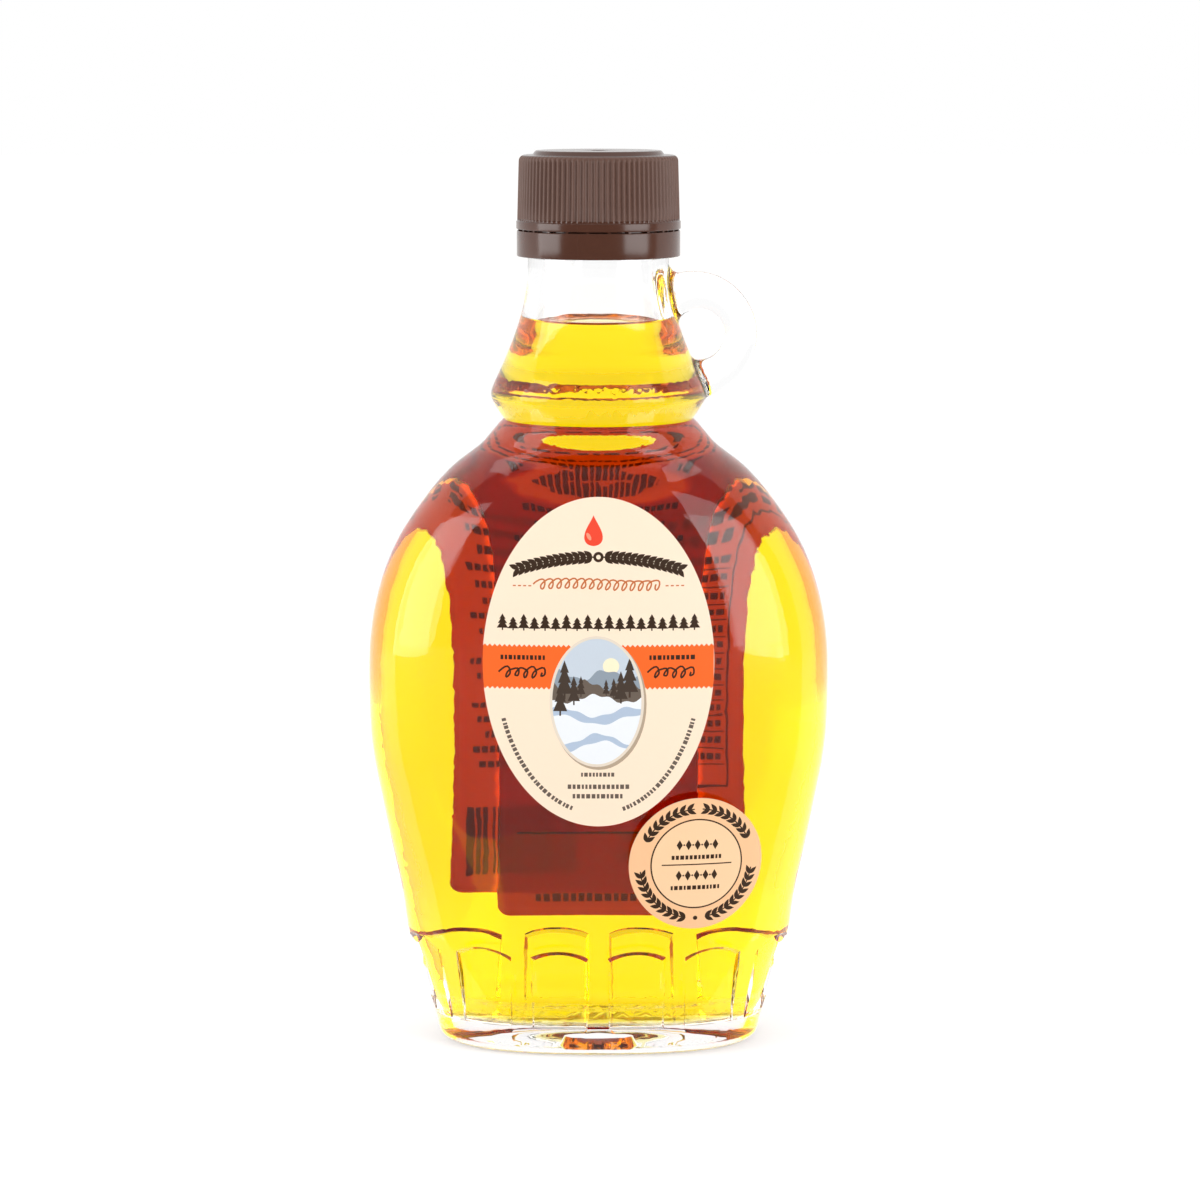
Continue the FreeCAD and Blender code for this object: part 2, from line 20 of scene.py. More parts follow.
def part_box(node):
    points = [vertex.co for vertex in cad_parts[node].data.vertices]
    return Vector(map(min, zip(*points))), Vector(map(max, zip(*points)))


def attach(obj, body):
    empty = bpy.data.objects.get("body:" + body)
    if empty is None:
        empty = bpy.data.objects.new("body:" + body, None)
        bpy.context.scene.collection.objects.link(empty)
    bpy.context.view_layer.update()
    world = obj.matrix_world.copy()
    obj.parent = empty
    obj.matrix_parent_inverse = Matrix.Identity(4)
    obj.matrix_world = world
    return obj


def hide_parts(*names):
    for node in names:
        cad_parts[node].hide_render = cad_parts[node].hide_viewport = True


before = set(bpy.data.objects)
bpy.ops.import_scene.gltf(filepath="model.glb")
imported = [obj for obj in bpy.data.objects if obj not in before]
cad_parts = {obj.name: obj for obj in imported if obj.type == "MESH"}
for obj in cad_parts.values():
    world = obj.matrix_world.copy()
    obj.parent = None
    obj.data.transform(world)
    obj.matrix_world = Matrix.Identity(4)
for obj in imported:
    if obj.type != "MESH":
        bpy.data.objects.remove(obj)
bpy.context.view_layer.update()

BOXES = {name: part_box(name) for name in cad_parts}
LOG = logging.getLogger("syrup_bottle")
MM = 0.001
WELD = 0.000001                   # metres within which packed corners are one
UP = Vector((0.0, 0.0, 1.0))
STAMP_START = 0.1                # metres from the axis, well clear of the glass

Point = tuple[float, float]
Outline = list[Point]
Colour = tuple[float, float, float, float]


def linear(colour: str) -> Colour:
    """Turn an sRGB hex colour into linear light.

    Args:
        colour: "#RRGGBB".

    Returns:
        Linear red, green, blue and an alpha of 1.
    """
    channels = [int(colour[start:start + 2], 16) / 255 for start in (1, 3, 5)]
    red, green, blue = (c / 12.92 if c <= 0.04045 else ((c + 0.055) / 1.055) ** 2.4 for c in channels)
    return red, green, blue, 1.0


def add_node(tree: bpy.types.NodeTree, kind: str, sockets: dict[Any, Any] | None = None,
             **settings: Any) -> bpy.types.Node:
    """Add a shader node with its settings and links.

    Args:
        tree: Node tree that gets the node.
        kind: Blender's name for the type of node.
        sockets: Input name or number, with the value it is set to or the output it is linked from.
        settings: The node's own properties.

    Returns:
        The new node.
    """
    node = tree.nodes.new(kind)
    for name, value in settings.items():
        setattr(node, name, value)
    for name, value in (sockets or {}).items():
        if isinstance(value, bpy.types.NodeSocket):
            tree.links.new(value, node.inputs[name])
        else:
            node.inputs[name].default_value = value
    return node


def new_material(name: str) -> tuple[bpy.types.Material, bpy.types.NodeTree, bpy.types.Node]:
    """Make an empty node material.

    Args:
        name: The finish's name.

    Returns:
        The material, its node tree and its output node.
    """
    material = bpy.data.materials.new(name)
    material.use_nodes = True
    tree = material.node_tree
    tree.nodes.clear()
    return material, tree, add_node(tree, "ShaderNodeOutputMaterial")


def shown_rays(tree: bpy.types.NodeTree) -> bpy.types.NodeSocket:
    """Return a socket that is 1 for what the camera sees, straight, mirrored or through glass, and else 0."""
    rays = add_node(tree, "ShaderNodeLightPath")
    seen = add_node(tree, "ShaderNodeMath", {
        0: rays.outputs["Is Camera Ray"], 1: rays.outputs["Is Glossy Ray"]}, operation="ADD")
    seen = add_node(tree, "ShaderNodeMath", {
        0: seen.outputs[0], 1: rays.outputs["Is Transmission Ray"]}, operation="ADD", use_clamp=True)
    return seen.outputs[0]


def new_piece(name: str, mesh: bpy.types.Mesh, node: str) -> bpy.types.Object:
    """Link a mesh as a piece of the bottle that stands for a CAD node.

    Args:
        name: Name of the piece.
        mesh: Its mesh, in the model's frame.
        node: CAD node that it stands for.

    Returns:
        The piece.
    """
    piece = bpy.data.objects.new(name, mesh)
    bpy.context.scene.collection.objects.link(piece)
    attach(piece, "root")
    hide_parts(node)
    LOG.info("%s: %d faces for %s", name, len(mesh.polygons), node)
    return piece


# ------------------------------------------------------------------------------ finishes
@dataclass(frozen=True)
class FlintGlass:
    """Colourless soda-lime glass, blown in a two-part mould."""

    ior: float = 1.52
    roughness: float = 0.0
    wave_length: float = 16.0      # slow unevenness of blown walls, mm from crest to crest
    wave_height: float = 0.045     # mm

    def material(self) -> bpy.types.Material:
        """Return clear glass whose blown wall bends what is seen through it, in slow waves."""
        material, tree, output = new_material("flint_glass_blown")
        place = add_node(tree, "ShaderNodeTexCoord")
        waves = add_node(tree, "ShaderNodeTexNoise", {
            "Vector": place.outputs["Object"], "Scale": 1 / (self.wave_length * MM),
            "Detail": 1.0, "Roughness": 0.3})
        bump = add_node(tree, "ShaderNodeBump", {
            "Height": waves.outputs[0], "Strength": 1.0, "Distance": self.wave_height * MM})
        glass = add_node(tree, "ShaderNodeBsdfPrincipled", {
            "Base Color": linear("#FFFFFF"), "Transmission Weight": 1.0, "IOR": self.ior,
            "Specular Tint": linear("#BCBCBC"), "Roughness": self.roughness, "Normal": bump.outputs[0]})
        tree.links.new(glass.outputs[0], output.inputs["Surface"])
        return material


@dataclass(frozen=True)
class AmberSyrup:
    """Sugar syrup at 66 per cent, filtered clear."""

    ior: float = 1.455
    absorption: float = 205.0      # per metre, for the blue that it takes out entirely
    passed: str = "#FFF900"        # share of red, green and blue light that is let through

    def material(self) -> bpy.types.Material:
        """Return a clear liquid that deepens from yellow to red as more of it lies behind."""
        material, tree, output = new_material("maple_syrup_filtered")
        liquid = add_node(tree, "ShaderNodeBsdfPrincipled", {
            "Base Color": linear("#FFFFFF"), "Transmission Weight": 1.0, "IOR": self.ior,
            "Roughness": 0.0, "Specular Tint": linear("#000000")})
        depth = add_node(tree, "ShaderNodeVolumeAbsorption", {
            "Color": linear(self.passed), "Density": self.absorption})
        tree.links.new(liquid.outputs[0], output.inputs["Surface"])
        tree.links.new(depth.outputs[0], output.inputs["Volume"])
        return material


@dataclass(frozen=True)
class MouldedPolypropylene:
    """Brown polypropylene, injection moulded; the knurled skirt's tool is spark-eroded, the rest polished."""

    name: str = "polypropylene_polished"
    colour: str = "#4C2E23"
    streak: str = "#533429"
    ior: float = 1.49
    roughness: float = 0.18
    grain: float = 0.30            # mm; the tool's grain is finer, and drawn as coarse as it needs to show
    grain_height: float = 0.006    # mm

    def material(self) -> bpy.types.Material:
        """Return a brown plastic, glossy or satin, with a fine grain and faint flow streaks."""
        material, tree, output = new_material(self.name)
        place = add_node(tree, "ShaderNodeTexCoord")
        grain = add_node(tree, "ShaderNodeTexNoise", {
            "Vector": place.outputs["Object"], "Scale": 1 / (self.grain * MM), "Detail": 2.0})
        flow = add_node(tree, "ShaderNodeTexNoise", {
            "Vector": place.outputs["Object"], "Scale": 1 / (7.0 * MM), "Detail": 2.0})
        shade = add_node(tree, "ShaderNodeMix", {
            "Factor": flow.outputs[0], "A": linear(self.colour), "B": linear(self.streak)},
            data_type="RGBA")
        gloss = add_node(tree, "ShaderNodeMapRange", {
            "Value": grain.outputs[0], "To Min": self.roughness - 0.05, "To Max": self.roughness + 0.05})
        bump = add_node(tree, "ShaderNodeBump", {
            "Height": grain.outputs[0], "Strength": 0.6, "Distance": self.grain_height * MM})
        plastic = add_node(tree, "ShaderNodeBsdfPrincipled", {
            "Base Color": shade.outputs["Result"], "IOR": self.ior, "Roughness": gloss.outputs[0],
            "Normal": bump.outputs[0]})
        tree.links.new(plastic.outputs[0], output.inputs["Surface"])
        return material


@dataclass(frozen=True)
class LabelPaper:
    """Label paper, whose colour lies on each face of the mesh; a subclass gives its surface."""

    patch: float                   # mm, size of the uneven patches
    uneven: float                  # how much darker a patch may be, as a share
    thin: float                    # share of the light that goes on through the sheet

    def surface(self, tree: bpy.types.NodeTree, shade: bpy.types.NodeSocket,
                patches: bpy.types.NodeSocket) -> bpy.types.Node:
        """Add the shader of what the sheet reflects.

        Args:
            tree: The material's nodes.
            shade: Colour of the sheet.
            patches: The uneven patches, from 0 to 1.

        Returns:
            The shader's node.
        """
        raise NotImplementedError

    def material(self, name: str, layer: str) -> bpy.types.Material:
        """Make the paper.

        Args:
            name: The finish's name.
            layer: Colour layer of the mesh that holds the ink, and on the label's back its colour, which on
                the back labels is painted amber light and painted shade.

        Returns:
            A sheet that reflects some light and lets the rest soak through.
        """
        material, tree, output = new_material(name)
        ink = add_node(tree, "ShaderNodeAttribute", attribute_name=layer)
        place = add_node(tree, "ShaderNodeTexCoord")
        patches = add_node(tree, "ShaderNodeTexNoise", {
            "Vector": place.outputs["Object"], "Scale": 1 / (self.patch * MM), "Detail": 3.0})
        even = add_node(tree, "ShaderNodeMapRange", {
            "Value": patches.outputs[0], "To Min": 1.0 - self.uneven, "To Max": 1.0})
        shade = add_node(tree, "ShaderNodeMix", {
            "Factor": 1.0, "A": ink.outputs["Color"], "B": even.outputs[0]},
            data_type="RGBA", blend_type="MULTIPLY").outputs["Result"]
        paper = self.surface(tree, shade, patches.outputs[0])
        through = add_node(tree, "ShaderNodeBsdfTranslucent", {"Color": shade})
        mixed = add_node(tree, "ShaderNodeMixShader", {
            0: self.thin, 1: paper.outputs[0], 2: through.outputs[0]})
        tree.links.new(mixed.outputs[0], output.inputs["Surface"])
        return material


@dataclass(frozen=True)
class CoatedPaper(LabelPaper):
    """Clay-coated label paper, offset printed: matt, with crisp ink, faint fibres and an uneven coat."""

    patch: float = 0.45            # paper fibres are finer, and drawn as coarse as they need to show
    uneven: float = 0.03
    thin: float = 0.06
    fibre_height: float = 0.004    # mm
    roughness: float = 0.55
    roughness_swing: float = 0.08

    def surface(self, tree: bpy.types.NodeTree, shade: bpy.types.NodeSocket,
                patches: bpy.types.NodeSocket) -> bpy.types.Node:
        """Add a faintly shiny coat over the fibres; see LabelPaper."""
        gloss = add_node(tree, "ShaderNodeMapRange", {
            "Value": patches, "To Min": self.roughness - self.roughness_swing,
            "To Max": self.roughness + self.roughness_swing})
        bump = add_node(tree, "ShaderNodeBump", {
            "Height": patches, "Strength": 0.5, "Distance": self.fibre_height * MM})
        return add_node(tree, "ShaderNodeBsdfPrincipled", {
            "Base Color": shade, "Roughness": gloss.outputs[0],
            "Specular IOR Level": 0.3, "Normal": bump.outputs[0]})


@dataclass(frozen=True)
class GluedPaper(LabelPaper):
    """Back of a label, wetted by its glue: dull and cloudy; on the back labels the colour it is given is
    painted amber light, which stands in for light come through the syrup.
    """

    patch: float = 1.1
    uneven: float = 0.12
    thin: float = 0.6
    roughness: float = 0.9

    def surface(self, tree: bpy.types.NodeTree, shade: bpy.types.NodeSocket,
                patches: bpy.types.NodeSocket) -> bpy.types.Node:
        """Add a dull face with no shine; see LabelPaper."""
        return add_node(tree, "ShaderNodeBsdfPrincipled", {
            "Base Color": shade, "Roughness": self.roughness, "Specular IOR Level": 0.0})


# ------------------------------------------------------------------------------ glass and syrup
class GlassWall:
    """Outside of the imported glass, which labels are pressed onto."""

    def __init__(self, mesh: bpy.types.Mesh) -> None:
        """Read the wall's triangles and their smooth normals."""
        self.points = [vertex.co.copy() for vertex in mesh.vertices]
        self.triangles = [tuple(polygon.vertices) for polygon in mesh.polygons]
        normals = [Vector(normal.vector) for normal in mesh.corner_normals]
        self.normals = [[normals[corner] for corner in polygon.loop_indices] for polygon in mesh.polygons]
        self.tree = BVHTree.FromPolygons(self.points, self.triangles)

    def press(self, start: Vector, direction: Vector) -> tuple[Vector, Vector]:
        """Find where a straight push meets the wall.

        Args:
            start: Place outside the glass.
            direction: Way to push.

        Returns:
            The place on the wall and the wall's outward normal there.
        """
        place, _, face, _ = self.tree.ray_cast(start, direction)
        corners = [self.points[corner] for corner in self.triangles[face]]
        normal = barycentric_transform(place, *corners, *self.normals[face])
        return place, normal.normalized()


@dataclass
class Flask:
    """The blown glass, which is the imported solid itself, and the syrup that fills it."""

    overlap: float = 0.12          # mm that the syrup reaches into the wall, so no air shows between them
    glass: FlintGlass = field(default_factory=FlintGlass)
    contents: AmberSyrup = field(default_factory=AmberSyrup)

    def build(self) -> GlassWall:
        """Dress the glass, make the syrup, and return the wall for the labels."""
        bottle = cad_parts["glass_bottle"]
        self.dress(bottle)
        self.fill(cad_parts["syrup"].data)
        return GlassWall(bottle.data)

    def dress(self, bottle: bpy.types.Object) -> None:
        """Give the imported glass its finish."""
        bottle.data.materials.clear()
        bottle.data.materials.append(self.glass.material())
        LOG.info("glass_bottle: %d faces, as packed", len(bottle.data.polygons))

    def fill(self, packed: bpy.types.Mesh) -> bpy.types.Object:
        """Make the syrup a little larger than the space that holds it.

        Args:
            packed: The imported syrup.

        Returns:
            The syrup piece.
        """
        places: dict[tuple[int, int, int], int] = {}
        welded, spread = [], []
        for vertex in packed.vertices:
            key = tuple(round(value / WELD) for value in vertex.co)
            if key not in places:
                places[key] = len(welded)
                welded.append(vertex.co.copy())
                spread.append(Vector())
            vertex_place = places[key]
            spread[vertex_place] += Vector(vertex.normal)
        index = [places[tuple(round(value / WELD) for value in vertex.co)] for vertex in packed.vertices]
        points = [place + normal.normalized() * self.overlap * MM for place, normal in zip(welded, spread)]
        faces, normals = [], []
        for polygon in packed.polygons:
            corners = [index[corner] for corner in polygon.vertices]
            if len(set(corners)) == len(corners):
                faces.append(corners)
                normals += [packed.corner_normals[corner].vector[:] for corner in polygon.loop_indices]
        mesh = bpy.data.meshes.new("syrup_fill")
        mesh.from_pydata(points, [], faces)
        mesh.shade_smooth()
        mesh.normals_split_custom_set(normals)
        mesh.materials.append(self.contents.material())
        return new_piece("syrup_fill", mesh, "syrup")


# ------------------------------------------------------------------------------ print
class Ink(Enum):
    """Inks and papers of the labels, as sRGB colours."""

    CREAM_PAPER = "#FFE8CF"
    WHITE_PAPER = "#F7F2E8"
    PEACH_PAPER = "#FDC899"
    PEACH_DISC = "#FFD4A8"
    BROWN = "#3F2A19"
    BLACK = "#2A211C"
    ORANGE = "#FF6A20"
    RUST = "#C8703A"
    RED = "#F4492F"
    BLUSH = "#FF9A7C"
    FRAME = "#E9DCCB"
    SHADE = "#B9A58E"
    SKY = "#CBD6E2"
    SUN = "#FFF3D0"
    FAR_RIDGE = "#93A0AD"
    WOODED_RIDGE = "#6F6257"
    DARK_RIDGE = "#4B3D33"
    SNOW = "#F1F5FA"
    SNOW_SHADE = "#B5C6DC"
    GREY = "#6B5D52"

    @property
    def shows_through(self) -> bool:
        """Whether the ink is dark enough to show from behind, where the back labels get painted shade."""
        return sum(linear(self.value)[:3]) < 0.6


@dataclass
class Artwork:
    """Flat print: outlines in millimetres, right and up from the label's middle, painted in order."""

    outlines: list[Outline] = field(default_factory=list)
    inks: list[Ink] = field(default_factory=list)
    masks: list[int] = field(default_factory=list)

    def paint(self, outline: Outline, ink: Ink, within: int = 0) -> int:
        """Add one closed outline.

        Args:
            outline: Its corners, in order.
            ink: Its ink.
            within: Number of an earlier outline that it stays inside.

        Returns:
            The outline's number.
        """
        area = sum(start[0] * end[1] - end[0] * start[1]
                   for start, end in zip(outline, outline[1:] + outline[:1]))
        self.outlines.append(outline if area > 0 else outline[::-1])
        self.inks.append(ink)
        self.masks.append(within)
        return len(self.outlines) - 1

    def paint_all(self, outlines: Iterable[Outline], ink: Ink, within: int = 0) -> None:
        """Add several outlines in one ink."""
        for outline in outlines:
            self.paint(outline, ink, within)

    def divide(self, pitch: float) -> tuple[list[Point], list[tuple[int, ...]], list[Ink]]:
        """Cut the label into small triangles along every printed edge.

        Args:
            pitch: Distance between the points that let the paper bend.

        Returns:
            Points, triangles, and each triangle's ink.
        """
        points: list[Vector] = []
        faces: list[list[int]] = []
        for outline in self.outlines:
            corners = short_sides(outline, pitch)
            faces.append(list(range(len(points), len(points) + len(corners))))
            points += [Vector(corner) for corner in corners]
        low = np.min(np.array(self.outlines[0]), axis=0)
        high = np.max(np.array(self.outlines[0]), axis=0)
        for row, up in enumerate(np.arange(low[1] + pitch / 2, high[1], pitch)):
            shift = pitch / 2 if row % 2 else 0.0
            points += [Vector((right, up)) for right in np.arange(low[0] + shift, high[0], pitch)]
        places, _, triangles, _, _, sources = delaunay_2d_cdt(points, [], faces, 1, 1e-5)
        kept, inks = [], []
        for triangle, source in zip(triangles, sources):
            if 0 in source:
                top = max(number for number in source if self.masks[number] in source)
                kept.append(tuple(triangle))
                inks.append(self.inks[top])
        return [tuple(place) for place in places], kept, inks


def short_sides(outline: Outline, longest: float) -> Outline:
    """Return the outline with points added, so that no side is longer than a length and all can bend."""
    corners = []
    for (right, up), (right_after, up_after) in zip(outline, outline[1:] + outline[:1]):
        parts = max(1, math.ceil(math.hypot(right_after - right, up_after - up) / longest))
        corners += [(right + (right_after - right) * part / parts, up + (up_after - up) * part / parts)
                    for part in range(parts)]
    return corners


def ellipse(middle: Point, half_width: float, half_height: float, turn: float = 0.0,
            count: int = 48) -> Outline:
    """Return an ellipse's outline, turned by a number of degrees."""
    cos, sin = math.cos(math.radians(turn)), math.sin(math.radians(turn))
    outline = []
    for step in range(count):
        angle = 2 * math.pi * step / count
        right, up = half_width * math.cos(angle), half_height * math.sin(angle)
        outline.append((middle[0] + right * cos - up * sin, middle[1] + right * sin + up * cos))
    return outline


def bar(middle: Point, width: float, height: float, turn: float = 0.0) -> Outline:
    """Return a straight bar's outline, turned by a number of degrees."""
    cos, sin = math.cos(math.radians(turn)), math.sin(math.radians(turn))
    corners = ((-1, -1), (1, -1), (1, 1), (-1, 1))
    return [(middle[0] + (a * width * cos - b * height * sin) / 2,
             middle[1] + (a * width * sin + b * height * cos) / 2) for a, b in corners]


def leaf(root: Point, length: float, width: float, turn: float, count: int = 7) -> Outline:
    """Return a pointed leaf that grows from its root, turned by a number of degrees."""
    cos, sin = math.cos(math.radians(turn)), math.sin(math.radians(turn))
    shares = [step / count for step in range(count + 1)]
    upper = [(share * length, width / 2 * math.sin(math.pi * share ** 0.8)) for share in shares]
    lower = [(along, -side) for along, side in reversed(upper[1:-1])]
    return [(root[0] + along * cos - side * sin, root[1] + along * sin + side * cos)
            for along, side in upper + lower]


def drop(middle: Point, height: float) -> Outline:
    """Return a hanging drop's outline, pointed at the top."""
    outline = []
    for step in range(32):
        angle = 2 * math.pi * step / 32
        outline.append((middle[0] + 0.44 * height * math.sin(angle) * math.sin(angle / 2) ** 1.6,
                        middle[1] + 0.5 * height * math.cos(angle)))
    return outline[::-1]


def stroke(path: Sequence[Point], width: float) -> list[Outline]:
    """Return a pen line along a path, as one four-cornered outline for each of its steps."""
    sides = []
    for step, (right, up) in enumerate(path):
        before, after = path[max(step - 1, 0)], path[min(step + 1, len(path) - 1)]
        run, rise = after[0] - before[0], after[1] - before[1]
        length = math.hypot(run, rise)
        across = (-rise / length * width / 2, run / length * width / 2)
        sides.append(((right - across[0], up - across[1]), (right + across[0], up + across[1])))
    return [[low[0], high[0], high[1], low[1]] for low, high in zip(sides, sides[1:])]


def pen_loops(start: float, end: float, height: float, loops: float, level: float) -> list[Point]:
    """Return the path of a row of slanted pen loops, from left to right.

    Args:
        start: Left end.
        end: Right end.
        height: Height of the loops.
        loops: How many there are.
        level: Height of the row's middle.

    Returns:
        Points along the path.
    """
    path = []
    count = int(loops * 14)
    for step in range(count + 1):
        share = step / count
        angle = 2 * math.pi * loops * share
        swell = 0.55 + 0.45 * math.sin(2.4 * angle / loops + 0.37 * angle) ** 2
        lift = height / 2 * swell * math.sin(angle)
        path.append((start + (end - start) * share - 0.30 * height * math.cos(angle) + 0.35 * lift,
                     level + lift))
    return path


def conifer(foot: Point, height: float, width: float) -> Outline:
    """Return the outline of a small fir tree of three tiers."""
    right_side = [(0.06, 0.0), (0.06, 0.14), (0.5, 0.14), (0.22, 0.42), (0.40, 0.42), (0.16, 0.68),
                  (0.27, 0.68), (0.0, 1.0)]
    left_side = [(-side, rise) for side, rise in reversed(right_side[:-1])]
    return [(foot[0] + side * width, foot[1] + rise * height) for side, rise in right_side + left_side]


def pinked(start: float, end: float, level: float, depth: float, pitch: float) -> Outline:
    """Return a zigzag edge from left to right."""
    count = round((end - start) / pitch)
    return [(start + pitch * step / 2, level + (depth if step % 2 else 0.0)) for step in range(2 * count + 1)]


def ridge(start: float, end: float, level: float, swing: Sequence[tuple[float, float, float]],
          bottom: float, step: float = 0.45) -> Outline:
    """Return a hill line that is a sum of waves, closed along a level below it.

    Args:
        start: Left end.
        end: Right end.
        level: Mean height of the hill line.
        swing: For each wave, its height, its length and its start.
        bottom: Height of the lower edge.
        step: Distance between points.

    Returns:
        The outline.
    """
    line = []
    for right in np.arange(start, end + step / 2, step):
        lift = sum(height * math.sin(2 * math.pi * (right / length + phase))
                   for height, length, phase in swing)
        line.append((float(right), level + lift))
    return [(end, bottom)] + line[::-1] + [(start, bottom)]


def beads(middle: Point, width: float, height: float, draw: random.Random) -> list[Outline]:
    """Return a row of short bars of uneven width, with even gaps."""
    row, right = [], middle[0] - width / 2
    end = middle[0] + width / 2
    while right < end - 0.4 * height:
        size = min(height * draw.uniform(0.45, 0.95), end - right)
        row.append(bar((right + size / 2, middle[1]), size, height))
        right += size + 0.30 * height
    return row


def arc_beads(middle: Point, radius: float, start: float, end: float, height: float,
              draw: random.Random, squash: float = 1.0) -> list[Outline]:
    """Return short bars along an arc, each square to it.

    Args:
        middle: Centre of the arc.
        radius: Its radius along X.
        start: First angle in degrees, anticlockwise from the right.
        end: Last angle.
        height: Size of the bars across the arc.
        draw: Source of their uneven widths.
        squash: The arc's radius along Y, as a share of that along X.

    Returns:
        The outlines.
    """
    row, angle = [], start
    way = 1 if end > start else -1
    while way * (end - angle) > 0:
        turn = math.radians(angle)
        slope = (-radius * math.sin(turn), radius * squash * math.cos(turn))
        pace = math.hypot(*slope)
        size = height * draw.uniform(0.45, 0.95)
        place = (middle[0] + radius * math.cos(turn), middle[1] + radius * squash * math.sin(turn))
        row.append(bar(place, size, height, math.degrees(math.atan2(slope[1], slope[0]))))
        angle += way * math.degrees((size + 0.34 * height) / pace)
    return row


def sprig(middle: Point, radius: float, start: float, end: float, leaves: int, size: float) -> list[Outline]:
    """Return pairs of leaves along an arc, on a thin stem.

    Args:
        middle: Centre of the arc.
        radius: Its radius.
        start: First angle in degrees, anticlockwise from the right; the leaves point towards the last.
        end: Last angle.
        leaves: Number of pairs.
        size: Length of a leaf.

    Returns:
        The outlines.
    """
    way = 90 if end > start else -90
    outlines = []
    for step in range(leaves):
        angle = start + (end - start) * step / leaves
        turn = math.radians(angle)
        root = (middle[0] + radius * math.cos(turn), middle[1] + radius * math.sin(turn))
        for lean in (-34, 34):
            outlines.append(leaf(root, size, 0.42 * size, angle + way + lean))
    turns = [math.radians(start + (end - start) * step / 40) for step in range(41)]
    return outlines + stroke([(middle[0] + radius * math.cos(turn), middle[1] + radius * math.sin(turn))
                              for turn in turns], 0.13 * size)


def lozenges(middle: Point, width: float, height: float, count: int) -> list[Outline]:
    """Return a row of small upright diamonds, with a dot between each two."""
    row = []
    pitch = width / count
    for step in range(count):
        right = middle[0] - width / 2 + pitch * (step + 0.5)
        half = 0.34 * pitch
        row.append([(right - half, middle[1]), (right, middle[1] - height / 2), (right + half, middle[1]),
                    (right, middle[1] + height / 2)])
        if step:
            row.append(ellipse((right - pitch / 2, middle[1]), 0.09 * height, 0.09 * height, count=10))
    return row


# ------------------------------------------------------------------------------ labels
@dataclass
class Label:
    """Printed paper glued to the glass, in millimetres; a subclass draws its print."""

    wall: GlassWall
    paper: float = 0.12            # thickness
    sunk: float = 0.05             # the glued face sits this far in the wall, so no air shows behind it
    pitch: float = 1.3             # distance between the points that let the paper bend
    stand_off: float = 50.0        # each point is pushed onto the glass from this far away
    seed: int = 7
    face: CoatedPaper = field(default_factory=CoatedPaper)

    name = "label"
    node = "label"
    slot = "label_paper"

    def artwork(self) -> Artwork:
        """Return the print; its first outline is the label's own."""
        raise NotImplementedError

    def stamp(self) -> tuple[Vector, Vector]:
        """Return the middle of the label's flat stamp and the way that it faces."""
        low, high = BOXES[self.node]
        return Vector((0.0, 0.0, (low.z + high.z) / 2)), Vector((0.0, -1.0, 0.0))

    def size(self) -> tuple[float, float]:
        """Return the label's width and height as packed."""
        low, high = BOXES[self.node]
        return (high.x - low.x) / MM, (high.z - low.z) / MM

    def lift(self, right: float, up: float) -> tuple[float, float]:
        """Return how far the glued face and the printed face stand off the glass at a point."""
        return -self.sunk, self.paper

    def glued_colour(self, ink: Ink, right: float, up: float) -> Colour:
        """Return the colour of the label's back at a point."""
        return linear("#F6E7CF")

    def build(self) -> bpy.types.Object:
        """Press the print onto the glass and return the piece."""
        points, triangles, inks = self.artwork().divide(self.pitch)
        middle, outward = self.stamp()
        rightward = UP.cross(outward)
        reach = outward * (self.stand_off * MM)
        count = len(points)
        printed, glued, normals = [], [], []
        for right, up in points:
            start = middle + rightward * right * MM + UP * up * MM + reach
            place, normal = self.wall.press(start, -outward)
            under, over = self.lift(right, up)
            glued.append(place + normal * under * MM)
            printed.append(place + normal * over * MM)
            normals.append(normal)
        edges: dict[tuple[int, int], int] = {}
        for triangle in triangles:
            for first, second in zip(triangle, triangle[1:] + triangle[:1]):
                edges[first, second] = edges.get((first, second), 0) + 1
        rim = [(first, second) for first, second in edges if (second, first) not in edges]
        faces = [list(triangle) for triangle in triangles]
        faces += [[corner + count for corner in reversed(triangle)] for triangle in triangles]
        faces += [[second, first, first + count, second + count] for first, second in rim]
        mesh = bpy.data.meshes.new(self.name)
        mesh.from_pydata(printed + glued, [], faces)
        self.colour(mesh, points, triangles, inks)
        self.smooth(mesh, normals, len(triangles), count)
        mesh.materials.append(self.face.material(f"{self.name}_paper", "ink"))
        mesh.materials.append(GluedPaper().material(f"{self.name}_back", "ink"))
        back = [0] * len(triangles) + [1] * len(triangles) + [0] * len(rim)
        mesh.polygons.foreach_set("material_index", back)
        mesh.update()
        return new_piece(self.name, mesh, self.node)

    def colour(self, mesh: bpy.types.Mesh, points: list[Point], triangles: list[tuple[int, ...]],
               inks: list[Ink]) -> None:
        """Write each face's colour: ink in front, the back's colour behind (painted amber light and painted
        shade on the back labels), bare paper on the rim.
        """
        front = [linear(ink.value) for ink in inks]
        behind = []
        for triangle, ink in zip(triangles, inks):
            right = sum(points[corner][0] for corner in triangle) / 3
            up = sum(points[corner][1] for corner in triangle) / 3
            behind.append(self.glued_colour(ink, right, up))
        bare = [linear(Ink.WHITE_PAPER.value)] * (len(mesh.polygons) - 2 * len(triangles))
        layer = mesh.color_attributes.new("ink", "FLOAT_COLOR", "CORNER")
        values: list[float] = []
        for polygon, shade in zip(mesh.polygons, front + behind + bare):
            values += shade * polygon.loop_total
        layer.data.foreach_set("color", values)

    def smooth(self, mesh: bpy.types.Mesh, normals: list[Vector], triangles: int, count: int) -> None:
        """Give both faces the wall's own smooth normals."""
        mesh.shade_smooth()
        corners = []
        for polygon in mesh.polygons:
            for vertex in polygon.vertices:
                if polygon.index < triangles:
                    corners.append(normals[vertex][:])
                elif polygon.index < 2 * triangles:
                    corners.append((-normals[vertex - count])[:])
                else:
                    corners.append(polygon.normal[:])
        mesh.normals_split_custom_set(corners)


